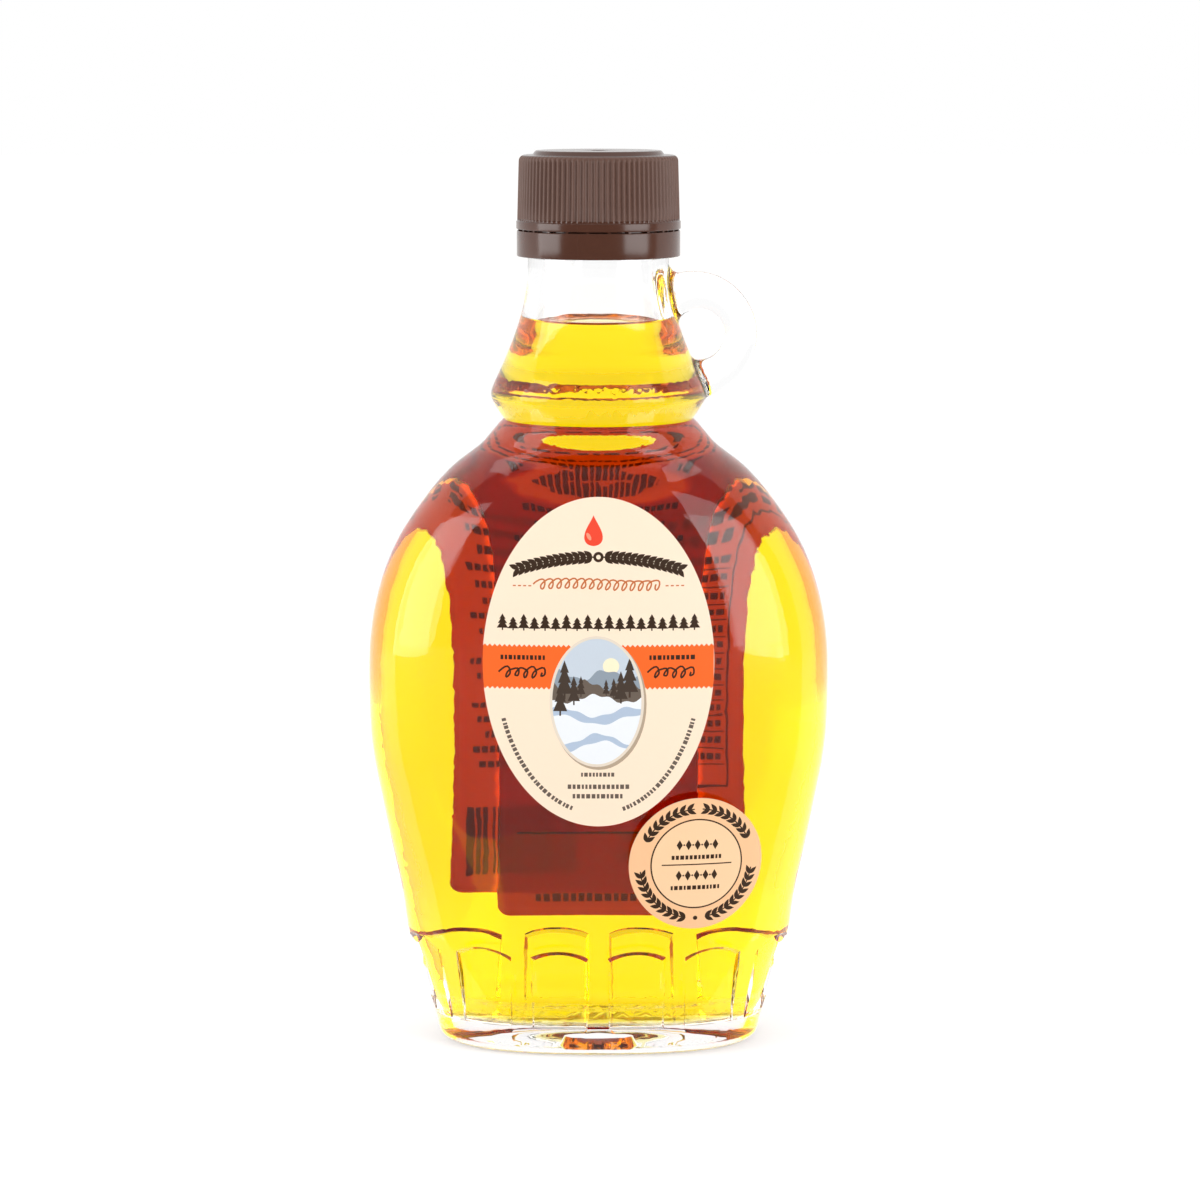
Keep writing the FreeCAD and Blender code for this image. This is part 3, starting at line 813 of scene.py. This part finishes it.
@dataclass
class FrontLabel(Label):
    """Tall oval label: drop, garland, row of firs, orange band and a small winter picture."""

    band_top: float = 3.1
    band_bottom: float = -4.3
    band_print: float = 13.6       # middle of the print on the band, to each side
    tooth: float = 0.45            # depth of the band's pinked edges
    tooth_pitch: float = 0.9
    garland_radius: float = 48.0
    garland_leaves: int = 13       # pairs to each side
    firs: int = 19

    name = "front_label_print"
    node = "front_label"

    def artwork(self) -> Artwork:
        """Return the oval label's print."""
        width, height = self.size()
        art = Artwork()
        art.paint(ellipse((0, 0), width / 2, height / 2, count=180), Ink.CREAM_PAPER)
        draw = random.Random(self.seed)
        self.head(art)
        self.band(art, width, draw)
        self.picture(art)
        self.foot(art, width, height, draw)
        return art

    def head(self, art: Artwork) -> None:
        """Paint the drop, the garland, the pen line and the row of firs."""
        art.paint(drop((-0.9, 24.4), 5.6), Ink.RED)
        art.paint(ellipse((-1.75, 23.3), 0.34, 0.75, turn=28, count=16), Ink.BLUSH)
        radius, middle = self.garland_radius, 19.6
        leaves = self.garland_leaves
        for step in range(-leaves, leaves + 1):
            angle = 17.6 * step / leaves
            turn = math.radians(90 - angle)
            root = (radius * math.cos(turn), middle - radius + radius * math.sin(turn))
            way = -angle + (0 if step > 0 else 180)
            if step:
                lean = 38 if step > 0 else -38
                art.paint(leaf(root, 1.95, 0.95, way + lean), Ink.BROWN)
                art.paint(leaf(root, 1.95, 0.95, way - lean), Ink.BROWN)
        spine = [math.radians(90 + 18.4 - 36.8 * step / 60) for step in range(61)]
        path = [(radius * math.cos(turn), middle - radius + radius * math.sin(turn)) for turn in spine]
        art.paint_all(stroke(path, 0.28), Ink.BROWN)
        art.paint(ellipse((0, middle), 0.95, 0.95, count=20), Ink.BROWN)
        art.paint(ellipse((0, middle), 0.42, 0.42, count=16), Ink.CREAM_PAPER)
        art.paint_all(stroke(pen_loops(-11.2, 11.2, 2.3, 15, 14.6), 0.30), Ink.RUST)
        for side in (-1, 1):
            for step in range(4):
                art.paint(bar((side * (12.5 + 0.95 * step), 14.3), 0.55, 0.24), Ink.RUST)
        for step in range(self.firs):
            place = (step - (self.firs - 1) / 2) * 37.0 / self.firs
            tall = 3.05 - 0.55 * (step % 2)
            art.paint(conifer((place, 6.1), tall, 2.15), Ink.BROWN)

    def band(self, art: Artwork, width: float, draw: random.Random) -> None:
        """Paint the orange band with pinked edges, and the rows on it."""
        top = pinked(-width / 2, width / 2, self.band_top, self.tooth, self.tooth_pitch)
        bottom = pinked(-width / 2, width / 2, self.band_bottom, -self.tooth, self.tooth_pitch)
        art.paint(bottom + top[::-1], Ink.ORANGE)
        for side in (-1, 1):
            middle = side * self.band_print
            art.paint_all(beads((middle, 1.15), 8.6, 0.85, draw), Ink.BROWN)
            path = pen_loops(middle - 4.0, middle + 4.0, 2.2, 5, -1.6)
            art.paint_all(stroke(path, 0.34), Ink.BROWN)

    def picture(self, art: Artwork) -> None:
        """Paint the small oval picture of snowy hills under a low sun."""
        middle, half_width, half_height = (-0.3, -7.0), 8.4, 11.9
        shadow = (middle[0] + 0.35, middle[1] - 0.45)
        art.paint(ellipse(shadow, half_width + 0.35, half_height + 0.35), Ink.SHADE)
        art.paint(ellipse(middle, half_width + 0.25, half_height + 0.25, count=72), Ink.FRAME)
        oval = art.paint(ellipse(middle, half_width - 0.25, half_height - 0.25, count=72), Ink.SKY)
        left, right = middle[0] - half_width - 1, middle[0] + half_width + 1
        bottom = middle[1] - half_height - 1
        art.paint(ellipse((middle[0] + 2.6, middle[1] + 6.6), 1.5, 1.5, count=28), Ink.SUN, oval)
        hills = (
            (5.0, ((0.9, 9.0, 0.1), (0.35, 3.7, 0.3)), Ink.FAR_RIDGE),
            (3.1, ((0.8, 7.3, 0.55), (0.4, 2.9, 0.2)), Ink.WOODED_RIDGE),
            (0.6, ((0.7, 11.0, 0.3), (0.25, 3.1, 0.6)), Ink.SNOW),
            (-1.9, ((0.9, 13.0, 0.8), (0.2, 4.1, 0.1)), Ink.SNOW_SHADE),
            (-3.3, ((0.9, 15.0, 0.75), (0.2, 5.0, 0.4)), Ink.SNOW),
            (-6.9, ((1.0, 12.0, 0.25), (0.2, 4.0, 0.5)), Ink.SNOW_SHADE),
            (-8.3, ((1.0, 14.0, 0.2), (0.2, 4.6, 0.9)), Ink.SNOW))
        for level, swing, ink in hills:
            art.paint(ridge(left, right, middle[1] + level, swing, bottom), ink, oval)
        firs = ((-5.9, 0.5, 7.2), (-4.2, -0.6, 5.4), (-2.9, 0.9, 3.9), (4.4, -0.3, 6.0),
                (6.0, 0.8, 7.4), (1.7, 1.1, 3.1), (-6.7, -2.6, 6.2), (3.1, 0.6, 3.8))
        for right_of, foot, tall in firs:
            place = (middle[0] + right_of, middle[1] + foot)
            art.paint(conifer(place, tall, tall * 0.42), Ink.DARK_RIDGE, oval)

    def foot(self, art: Artwork, width: float, height: float, draw: random.Random) -> None:
        """Paint the small rows and the curved rows at the foot of the oval."""
        for level, long, tall in ((-20.6, 6.4, 0.75), (-22.9, 11.3, 0.85), (-24.7, 9.5, 0.85)):
            art.paint_all(beads((0.0, level), long, tall, draw), Ink.GREY)
        inset = 2.5
        squash = (height / 2 - inset) / (width / 2 - inset)
        for start, end in ((202, 256), (338, 284)):
            art.paint_all(arc_beads((0, 0), width / 2 - inset, start, end, 0.8, draw, squash), Ink.GREY)


@dataclass
class GradeLabel(Label):
    """Round label low on the right: a ring, a rule and short rows."""

    seed: int = 11

    name = "grade_label_print"
    node = "grade_label"
    slot = "grade_paper"

    def stamp(self) -> tuple[Vector, Vector]:
        """Return the round stamp's middle, which faces square to the curved wall."""
        low, high = BOXES[self.node]
        start = Vector(((low.x + high.x) / 2, -STAMP_START, (low.z + high.z) / 2))
        place, normal = self.wall.press(start, Vector((0, 1, 0)))
        return place, Vector((normal.x, normal.y, 0)).normalized()

    def artwork(self) -> Artwork:
        """Return the round label's print."""
        radius = self.size()[1] / 2
        draw = random.Random(self.seed)
        art = Artwork()
        art.paint(ellipse((0, 0), radius, radius, count=120), Ink.PEACH_PAPER)
        ring = 8.7
        art.paint(ellipse((0, 0), ring, ring, count=96), Ink.BROWN)
        art.paint(ellipse((0, 0), ring - 0.28, ring - 0.28, count=96), Ink.PEACH_DISC)
        art.paint(bar((0, -0.1), 13.2, 0.24), Ink.BROWN)
        for level in (3.7, -2.2):
            art.paint_all(lozenges((0, level), 8.4, 2.0, 5), Ink.BROWN)
            art.paint_all(beads((0, level - 2.4), 9.6, 0.8, draw), Ink.BROWN)
        middle_ring = (radius + ring) / 2 - 0.1
        for start, end, leaves in ((155, 94, 8), (25, 86, 8), (260, 187, 10), (280, 353, 10)):
            art.paint_all(sprig((0, 0), middle_ring, start, end, leaves, 1.9), Ink.BROWN)
        art.paint(ellipse((0, -middle_ring), 0.42, 0.42, count=14), Ink.BROWN)
        return art


@dataclass
class BackLabel(Label):
    """A label on the back: its back is seen from the front through the syrup."""

    corner: float = 2.0
    painted_amber_light: str = "#FF5C20"        # painted amber light: stands in for light come through the syrup onto one layer of wetted paper
    painted_amber_light_two_layers: str = "#F8461A"        # painted amber light with painted shade: two layers, which let less light through
    painted_print_shade: float = 0.45           # share of that colour left where dark print shows through: painted shade where the print holds back light from behind
    face: CoatedPaper = field(default_factory=lambda: CoatedPaper(thin=0.55))

    def stamp(self) -> tuple[Vector, Vector]:
        """Return the stamp's middle, facing backwards."""
        low, high = BOXES[self.node]
        return Vector((0.0, 0.0, (low.z + high.z) / 2)), Vector((0.0, 1.0, 0.0))

    def sheet(self) -> Outline:
        """Return the label's own outline, a rectangle with round corners."""
        width, height = self.size()
        outline = []
        for across, along, start in ((1, 1, 0), (-1, 1, 90), (-1, -1, 180), (1, -1, 270)):
            for step in range(7):
                angle = math.radians(start + 15 * step)
                outline.append((across * (width / 2 - self.corner) + self.corner * math.cos(angle),
                                along * (height / 2 - self.corner) + self.corner * math.sin(angle)))
        return outline

    def covered(self, right: float, up: float) -> bool:
        """Whether the other back label lies over or under a point of this one."""
        other = "back_label_wide" if self.node == "back_label_tall" else "back_label_tall"
        low, high = BOXES[other]
        level = self.stamp()[0].z + up * MM
        return low.x < right * MM < high.x and low.z < level < high.z

    def glued_colour(self, ink: Ink, right: float, up: float) -> Colour:
        """Return the painted amber light on the wetted paper's back, with painted shade where two layers lie
        together and where dark print shows through.
        """
        red, green, blue, _ = linear(self.painted_amber_light_two_layers if self.covered(right, up) else self.painted_amber_light)
        share = self.painted_print_shade if ink.shows_through else 1.0
        return red * share, green * share, blue * share, 1.0


@dataclass
class TallBackLabel(BackLabel):
    """Narrow tall label, straight on the glass."""

    name = "back_label_tall_print"
    node = "back_label_tall"
    seed: int = 5

    def artwork(self) -> Artwork:
        """Return the print that shows above and below the wide label."""
        width, height = self.size()
        draw = random.Random(self.seed)
        art = Artwork()
        art.paint(self.sheet(), Ink.WHITE_PAPER)
        top = height / 2
        art.paint_all(beads((0, top - 4.0), width - 7, 1.9, draw), Ink.BLACK)
        for row in range(2, 12):
            art.paint_all(beads((0, top - 4.0 - 2.9 * row), width - 7 - 3 * (row % 3), 1.0, draw), Ink.BLACK)
        art.paint(bar((0, -top + 16.0), width - 6, 0.4), Ink.BLACK)
        art.paint_all(beads((0, -top + 3.6), width - 12, 1.5, draw), Ink.BLACK)
        return art


@dataclass
class WideBackLabel(BackLabel):
    """Wide label that steps up over the edges of the tall one."""

    step: float = 0.7              # width of the paper's bend where it climbs onto the tall label

    name = "back_label_wide_print"
    node = "back_label_wide"
    seed: int = 3

    def lift(self, right: float, up: float) -> tuple[float, float]:
        """Return the two faces' heights, raised where the tall label lies underneath."""
        low, high = BOXES["back_label_tall"]
        inside = (high.x - low.x) / 2 / MM - abs(right)
        share = min(1.0, max(0.0, 1 + inside / self.step))
        rise = share * share * (3 - 2 * share)
        return -self.sunk + (self.paper + self.sunk) * rise, self.paper * (1 + rise)

    def artwork(self) -> Artwork:
        """Return the table, the rows and the block of upright bars."""
        width, height = self.size()
        draw = random.Random(self.seed)
        art = Artwork()
        art.paint(self.sheet(), Ink.WHITE_PAPER)
        half, top = width / 2, height / 2
        table_left, table_right, table_top, table_bottom = -half + 2.2, -half + 21.5, top - 2.5, -top + 20.0
        art.paint(bar(((table_left + table_right) / 2, (table_top + table_bottom) / 2),
                      table_right - table_left, table_top - table_bottom), Ink.BLACK)
        art.paint(bar(((table_left + table_right) / 2, (table_top + table_bottom) / 2),
                      table_right - table_left - 0.6, table_top - table_bottom - 0.6), Ink.WHITE_PAPER)
        middle = (table_left + table_right) / 2
        art.paint_all(beads((middle, table_top - 2.3), 16.5, 2.0, draw), Ink.BLACK)
        art.paint_all(beads((middle, table_top - 5.2), 16.5, 2.0, draw), Ink.BLACK)
        for row in range(13):
            level = table_top - 8.4 - 2.9 * row
            art.paint_all(beads((table_left + 5.8, level), 9.6, 1.15, draw), Ink.BLACK)
            art.paint_all(beads((table_right - 2.9, level), 3.6, 1.15, draw), Ink.BLACK)
            art.paint(bar((middle, level - 1.45), 18.0, 0.22), Ink.BLACK)
        side = half - 11.2
        for row in range(17):
            art.paint_all(beads((side, top - 4.0 - 2.7 * row), 18.0 - 2.5 * (row % 3), 1.1, draw), Ink.BLACK)
        left = half - 19.5
        while left < half - 3.0:
            thick = draw.choice((0.35, 0.35, 0.7, 1.05))
            art.paint(bar((left + thick / 2, -top + 10.0), thick, 12.5), Ink.BLACK)
            left += thick + draw.choice((0.35, 0.35, 0.7))
        art.paint_all(beads((-half + 12, -top + 14), 18, 1.2, draw), Ink.BLACK)
        art.paint_all(beads((-half + 12, -top + 10.5), 16, 1.2, draw), Ink.BLACK)
        art.paint_all(beads((-half + 12, -top + 7), 18, 1.2, draw), Ink.BLACK)
        return art


# ------------------------------------------------------------------------------ cap
@dataclass
class ScrewCap:
    """Moulded cap with a knurled skirt, a flange, and a tamper band on thin bridges; millimetres."""

    knurls: int = 90
    knurl_depth: float = 0.32
    steps_per_knurl: int = 8
    band_height: float = 4.8
    gap: float = 0.25
    bridges: int = 24
    bridge_width: float = 0.5
    flange_height: float = 1.5
    plateau_radius: float = 11.7
    plateau_rise: float = 0.8
    bore: float = 13.55            # inside of the skirt
    roof: float = 2.0              # top panel, from the plateau down
    band_bore: float = 14.05
    liner: float = 0.5             # how far the skirt's inner lip reaches down behind the band
    seam_angle: float = -104.0     # where the mould's parting line comes down the band
    seam_height: float = 0.05
    seam_width: float = 0.12
    hook_bore: float = 13.5        # inside of the band's hook, which holds it under the neck's bead
    hook_heights: tuple[float, float, float] = (0.7, 1.8, 2.4)
    band_inset: float = 0.1        # the band and the skirt stand this far inside the flange
    skirt_inset: float = 0.2
    skirt_top_inset: float = 0.5
    knurl_start: float = 0.45      # above the flange
    rim_round: float = 1.15
    plateau_step: float = 0.5      # width of the slope up to the plateau
    gate_depth: float = 0.24       # dimple in the middle, left by the mould's gate
    sharp_angle: float = 50.0
    polished: MouldedPolypropylene = field(default_factory=MouldedPolypropylene)
    # The eroded finish's lighter brown is painted sheen: it stands in for the highlights on the knurled ribs.
    eroded: MouldedPolypropylene = field(default_factory=lambda: MouldedPolypropylene(
        name="polypropylene_eroded_painted_sheen", colour="#604237", streak="#67493D", roughness=0.5))

    def build(self) -> bpy.types.Object:
        """Make the cap from two turned rings and the bridges between them."""
        low, high = BOXES["screw_cap"]
        self.bottom, self.top = low.z / MM, high.z / MM
        self.reach = (high.x - low.x) / 2 / MM
        points: list[tuple[float, float, float]] = []
        faces: list[list[int]] = []
        self.finishes: list[int] = []
        self.turn(self.band_profile(), points, faces, closed=True)
        self.turn(self.cap_profile(), points, faces, closed=False)
        self.bridge(points, faces)
        mesh = bpy.data.meshes.new("screw_cap_moulded")
        mesh.from_pydata([Vector(point) * MM for point in points], [], faces)
        mesh.shade_smooth()
        mesh.set_sharp_from_angle(angle=math.radians(self.sharp_angle))
        mesh.materials.append(self.polished.material())
        mesh.materials.append(self.eroded.material())
        mesh.polygons.foreach_set("material_index", self.finishes)
        return new_piece("screw_cap_moulded", mesh, "screw_cap")

    def turn(self, profile: list[tuple[float, float, float]], points: list[tuple[float, float, float]],
             faces: list[list[int]], closed: bool) -> None:
        """Turn a profile about the axis, with knurls where it asks for them.

        Args:
            profile: Radius, height and share of the knurls' depth, point by point.
            points: Points that the new ones are added to.
            faces: Faces that the new ones are added to.
            closed: Whether the profile's ends join; if not, both ends are on the axis.
        """
        count = self.knurls * self.steps_per_knurl
        rings = []
        for radius, height, share in profile:
            first = len(points)
            if radius == 0:
                points.append((0.0, 0.0, height))
                rings.append([first] * count)
                continue
            for step in range(count):
                angle = 2 * math.pi * step / count
                reach = radius - share * self.knurl_depth * self.groove(step)
                reach += self.seam(angle) if radius > self.reach - 0.5 and share == 0 else 0.0
                points.append((reach * math.cos(angle), reach * math.sin(angle), height))
            rings.append(list(range(first, first + count)))
        pairs = list(zip(rings, rings[1:] + rings[:1])) if closed else list(zip(rings, rings[1:]))
        for (low, high), (_, _, share) in zip(pairs, profile):
            self.finishes += [1 if share > 0 else 0] * count
            for step in range(count):
                after = (step + 1) % count
                face = [low[step], low[after], high[after], high[step]]
                faces.append([corner for place, corner in enumerate(face) if corner != face[place - 1]])

    def groove(self, step: int) -> float:
        """Return the depth of the knurling at a step round the cap: round ribs, narrower grooves."""
        turn = 2 * math.pi * (step % self.steps_per_knurl) / self.steps_per_knurl
        return (0.5 - 0.5 * math.cos(turn)) ** 1.6

    def seam(self, angle: float) -> float:
        """Return how far the parting line stands proud at an angle."""
        away = math.remainder(angle - math.radians(self.seam_angle), 2 * math.pi) * self.reach
        return self.seam_height * math.exp(-(away / self.seam_width) ** 2)

    def rounded(self, corner: tuple[float, float], before: tuple[float, float], after: tuple[float, float],
                radius: float, share: float = 0.0, steps: int = 4) -> list[tuple[float, float, float]]:
        """Return a profile corner, rounded.

        Args:
            corner: Radius and height of the sharp corner.
            before: Profile point before it.
            after: Profile point after it.
            radius: Length of each side that the rounding takes.
            share: Share of the knurls' depth there.
            steps: Number of parts of the rounding.

        Returns:
            Profile points along the rounding.
        """
        start, middle, end = Vector(before), Vector(corner), Vector(after)
        inward = middle + (start - middle).normalized() * radius
        onward = middle + (end - middle).normalized() * radius
        curve = []
        for step in range(steps + 1):
            along = step / steps
            place = inward * (1 - along) ** 2 + middle * 2 * along * (1 - along) + onward * along ** 2
            curve.append((place.x, place.y, share))
        return curve

    def band_profile(self) -> list[tuple[float, float, float]]:
        """Return the tamper band's closed profile, with its inner hook."""
        top = self.bottom + self.band_height
        outside = self.reach - self.band_inset
        hook_low, hook_high, hook_end = (self.bottom + height for height in self.hook_heights)
        corners = [(outside, self.bottom), (outside, top), (self.band_bore, top),
                   (self.band_bore, hook_end), (self.hook_bore, hook_high),
                   (self.hook_bore, hook_low), (self.band_bore, self.bottom)]
        profile = []
        for place, corner in enumerate(corners):
            after = corners[(place + 1) % len(corners)]
            profile += self.rounded(corner, corners[place - 1], after, 0.22 if place < 2 else 0.08, steps=3)
        return profile

    def cap_profile(self) -> list[tuple[float, float, float]]:
        """Return the cap's profile, from the middle of its roof inside to the middle of its top."""
        flange_low = self.bottom + self.band_height + self.gap
        flange_high = flange_low + self.flange_height
        rim = self.top - self.plateau_rise
        skirt_low, skirt_high = self.reach - self.skirt_inset, self.reach - self.skirt_top_inset
        roof = self.top - self.roof
        lip = flange_low - self.gap - self.liner
        profile = [(0.0, roof, 0.0), (self.bore - 0.5, roof, 0.0), (self.bore, roof - 0.5, 0.0),
                   (self.bore, lip, 0.0), (self.band_bore - 0.1, lip, 0.0),
                   (self.band_bore - 0.1, flange_low - 0.05, 0.0), (self.band_bore, flange_low, 0.0)]
        lower, upper, root = (self.reach, flange_low), (self.reach, flange_high), (skirt_low, flange_high)
        profile += self.rounded(lower, (self.bore, flange_low), upper, 0.2)
        profile += self.rounded(upper, lower, root, 0.15)
        profile += [(skirt_low + 0.02, flange_high + 0.02, 0.0), (skirt_low, flange_high + 0.12, 0.0),
                    (skirt_low - 0.01, flange_high + self.knurl_start, 1.0)]
        knurl_top = rim - self.rim_round
        for step in range(1, 5):
            share = step / 4
            profile.append((skirt_low + share * (skirt_high - skirt_low),
                            flange_high + self.knurl_start
                            + share * (knurl_top - flange_high - self.knurl_start), 1.0))
        for step in range(1, 7):
            turn = math.pi / 2 * step / 6
            profile.append((skirt_high - self.rim_round * (1 - math.cos(turn)),
                            knurl_top + self.rim_round * math.sin(turn), max(0.0, 1 - step / 4)))
        edge = self.plateau_radius + self.plateau_step
        step_up = [(edge + 0.5, rim), (edge + 0.12, rim + 0.02), (edge - 0.05, rim + 0.14),
                   (self.plateau_radius + 0.1, self.top - 0.16), (self.plateau_radius - 0.1, self.top - 0.03),
                   (self.plateau_radius - 0.4, self.top), (6.0, self.top - 0.05)]
        dimple = [(1.4, self.top - 0.08), (1.2, self.top - 0.22),
                  (0.5, self.top - self.gate_depth), (0.0, self.top - self.gate_depth)]
        profile += [(radius, height, 0.0) for radius, height in step_up + dimple]
        return profile

    def bridge(self, points: list[tuple[float, float, float]], faces: list[list[int]]) -> None:
        """Add the thin bridges that hold the band to the flange."""
        low = self.bottom + self.band_height - 0.15
        high = low + self.gap + 0.3
        inside, outside = self.band_bore + 0.1, self.reach - 0.28
        for number in range(self.bridges):
            angle = 2 * math.pi * (number + 0.5) / self.bridges
            out = Vector((math.cos(angle), math.sin(angle), 0))
            along = UP.cross(out) * self.bridge_width / 2
            first = len(points)
            for height in (low, high):
                for reach, side in ((inside, -1), (outside, -1), (outside, 1), (inside, 1)):
                    place = out * reach + along * side
                    points.append((place.x, place.y, height))
            faces += [[first + corner for corner in face] for face in (
                (3, 2, 1, 0), (4, 5, 6, 7), (0, 1, 5, 4), (1, 2, 6, 5), (2, 3, 7, 6), (3, 0, 4, 7))]
        self.finishes += [0] * (len(faces) - len(self.finishes))


# ------------------------------------------------------------------------------ studio
@dataclass
class Softbox:
    """Large square lamp that faces the bottle."""

    azimuth: float                 # degrees to the right of the camera, seen from the bottle
    elevation: float
    distance: float
    width: float
    height: float
    brightness: float              # of its face, where 1 is white

    def build(self, name: str, aim: Vector) -> None:
        """Make the lamp and turn it to the bottle."""
        lamp = bpy.data.lights.new(name, "AREA")
        lamp.shape = "RECTANGLE"
        lamp.size, lamp.size_y = self.width, self.height
        lamp.energy = self.brightness * math.pi * self.width * self.height
        piece = bpy.data.objects.new(name, lamp)
        side, rise = math.radians(self.azimuth), math.radians(self.elevation)
        away = Vector((math.sin(side) * math.cos(rise), -math.cos(side) * math.cos(rise), math.sin(rise)))
        piece.location = aim + away * self.distance
        piece.rotation_euler = away.to_track_quat("Z", "Y").to_euler()
        piece.visible_camera = False
        bpy.context.scene.collection.objects.link(piece)


@dataclass
class BackSpot:
    """Lamp behind the bottle, focused on it so that light soaks through the back labels; metres."""

    distance: float = 0.9
    height: float = 0.09
    radius: float = 0.04           # of the lamp's own face
    reach: float = 0.072           # radius of the lit circle at the bottle
    blend: float = 0.3             # share of the circle that fades at its edge
    power: float = 50.0            # watts

    def build(self) -> None:
        """Make the lamp, which no glass shows."""
        lamp = bpy.data.lights.new("back_spot", "SPOT")
        lamp.energy, lamp.shadow_soft_size, lamp.spot_blend = self.power, self.radius, self.blend
        lamp.spot_size = 2 * math.atan(self.reach / self.distance)
        piece = bpy.data.objects.new("back_spot", lamp)
        piece.location = (0.0, self.distance, self.height)
        piece.rotation_euler = (math.radians(-90), 0.0, 0.0)
        piece.visible_camera = piece.visible_glossy = piece.visible_transmission = False
        bpy.context.scene.collection.objects.link(piece)


@dataclass
class Studio:
    """White sweep, two softboxes, a spot behind, dark flags in front, and the camera."""

    room: float = 0.70             # brightness of the room on matt surfaces
    floor_lift: float = 0.41       # added where the floor shows, so that it meets the white background
    floor_colour: str = "#F4F3F1"
    floor_reach: float = 6.0
    flag_radius: float = 1.6
    flag_height: float = 2.4
    flag_spread: float = 89.0      # degrees to each side of the front
    flag_steps: int = 40
    card_lift: float = 0.0004      # the card lies this far above the floor
    card_gap: float = 0.03         # and starts this far in front of the bottle's middle
    eye: tuple[float, float, float] = (0.00028, -0.690, 0.1865)
    pitch: float = 8.45            # degrees down
    lens: float = 111.0
    lamps: tuple[Softbox, ...] = (
        Softbox(azimuth=-74, elevation=9, distance=0.9, width=0.6, height=0.7, brightness=4.0),
        Softbox(azimuth=55, elevation=9, distance=0.9, width=0.6, height=0.7, brightness=4.0))
    spot: BackSpot = field(default_factory=BackSpot)

    def build(self) -> None:
        """Set up the background, the floor, the lamps, the flags and the camera."""
        scene = bpy.context.scene
        scene.view_settings.view_transform = "Standard"
        scene.cycles.max_bounces = 24
        scene.cycles.transmission_bounces = 24
        scene.cycles.glossy_bounces = 20
        scene.cycles.diffuse_bounces = 8
        self.background(scene)
        self.floor()
        for number, lamp in enumerate(self.lamps):
            lamp.build(f"softbox_{number}", Vector((0, 0, 0.08)))
        self.spot.build()
        self.flags()
        self.camera(scene)

    def background(self, scene: bpy.types.Scene) -> None:
        """Make the room's soft light, and plain white wherever the background shows."""
        world = bpy.data.worlds.new("studio")
        world.use_nodes = True
        tree = world.node_tree
        tree.nodes.clear()
        strength = add_node(tree, "ShaderNodeMapRange", {
            "Value": shown_rays(tree), "To Min": self.room, "To Max": 1.0})
        light = add_node(tree, "ShaderNodeBackground", {
            "Color": linear("#FFFFFF"), "Strength": strength.outputs[0]})
        output = add_node(tree, "ShaderNodeOutputWorld")
        tree.links.new(light.outputs[0], output.inputs["Surface"])
        scene.world = world

    def floor(self) -> None:
        """Lay a wide pale floor that keeps the bottle's shadow."""
        material, tree, output = new_material("painted_sweep")
        place = add_node(tree, "ShaderNodeTexCoord")
        mottle = add_node(tree, "ShaderNodeTexNoise", {"Vector": place.outputs["Object"], "Scale": 40.0})
        shade = add_node(tree, "ShaderNodeMix", {
            "Factor": mottle.outputs[0], "A": linear(self.floor_colour), "B": linear("#F7F6F4")},
            data_type="RGBA")
        matt = add_node(tree, "ShaderNodeBsdfDiffuse", {"Color": shade.outputs["Result"]})
        lift = add_node(tree, "ShaderNodeMath", {
            0: shown_rays(tree), 1: self.floor_lift}, operation="MULTIPLY")
        glow = add_node(tree, "ShaderNodeEmission", {"Color": linear("#FFFFFF"), "Strength": lift.outputs[0]})
        mixed = add_node(tree, "ShaderNodeAddShader", {0: matt.outputs[0], 1: glow.outputs[0]})
        tree.links.new(mixed.outputs[0], output.inputs["Surface"])
        mesh = bpy.data.meshes.new("floor")
        reach = self.floor_reach
        mesh.from_pydata([(-reach, -reach, 0), (reach, -reach, 0), (reach, reach, 0), (-reach, reach, 0)],
                         [], [(0, 1, 2, 3)])
        mesh.materials.append(material)
        floor = bpy.data.objects.new("floor", mesh)
        bpy.context.scene.collection.objects.link(floor)

    def flags(self) -> None:
        """Stand a curved black flag and lay a black card in front, which only reflections see."""
        material, tree, output = new_material("black_felt")
        felt = add_node(tree, "ShaderNodeBsdfDiffuse", {"Color": linear("#101010")})
        tree.links.new(felt.outputs[0], output.inputs["Surface"])
        rim = []
        for step in range(self.flag_steps + 1):
            angle = math.radians(-90 + self.flag_spread * (2 * step / self.flag_steps - 1))
            rim.append((self.flag_radius * math.cos(angle), self.flag_radius * math.sin(angle)))
        wall = [(*place, height) for place in rim for height in (0.0, self.flag_height)]
        faces = [(2 * step, 2 * step + 1, 2 * step + 3, 2 * step + 2) for step in range(self.flag_steps)]
        card = [(*place, self.card_lift) for place in rim]
        card += [(side * self.flag_radius, -self.card_gap, self.card_lift) for side in (1, -1)]
        for name, points, sides in (("flag", wall, faces), ("card", card, [tuple(range(len(card)))])):
            mesh = bpy.data.meshes.new(name)
            mesh.from_pydata(points, [], sides)
            mesh.materials.append(material)
            flag = bpy.data.objects.new(name, mesh)
            flag.visible_camera = False
            flag.visible_diffuse = False
            flag.visible_transmission = False
            flag.visible_shadow = False
            bpy.context.scene.collection.objects.link(flag)

    def camera(self, scene: bpy.types.Scene) -> None:
        """Set the camera in front of the bottle, a little above it."""
        lens = bpy.data.cameras.new("camera")
        lens.lens = self.lens
        camera = bpy.data.objects.new("camera", lens)
        camera.location = self.eye
        camera.rotation_euler = (math.radians(90 - self.pitch), 0.0, 0.0)
        scene.collection.objects.link(camera)
        scene.camera = camera


def main() -> None:
    """Build the bottle's pieces in order, then the studio."""
    logging.basicConfig(level=logging.INFO, format="%(message)s")
    wall = Flask().build()
    ScrewCap().build()
    for label in (FrontLabel(wall), GradeLabel(wall), TallBackLabel(wall), WideBackLabel(wall)):
        label.build()
    Studio().build()


if __name__ == "__main__":
    main()
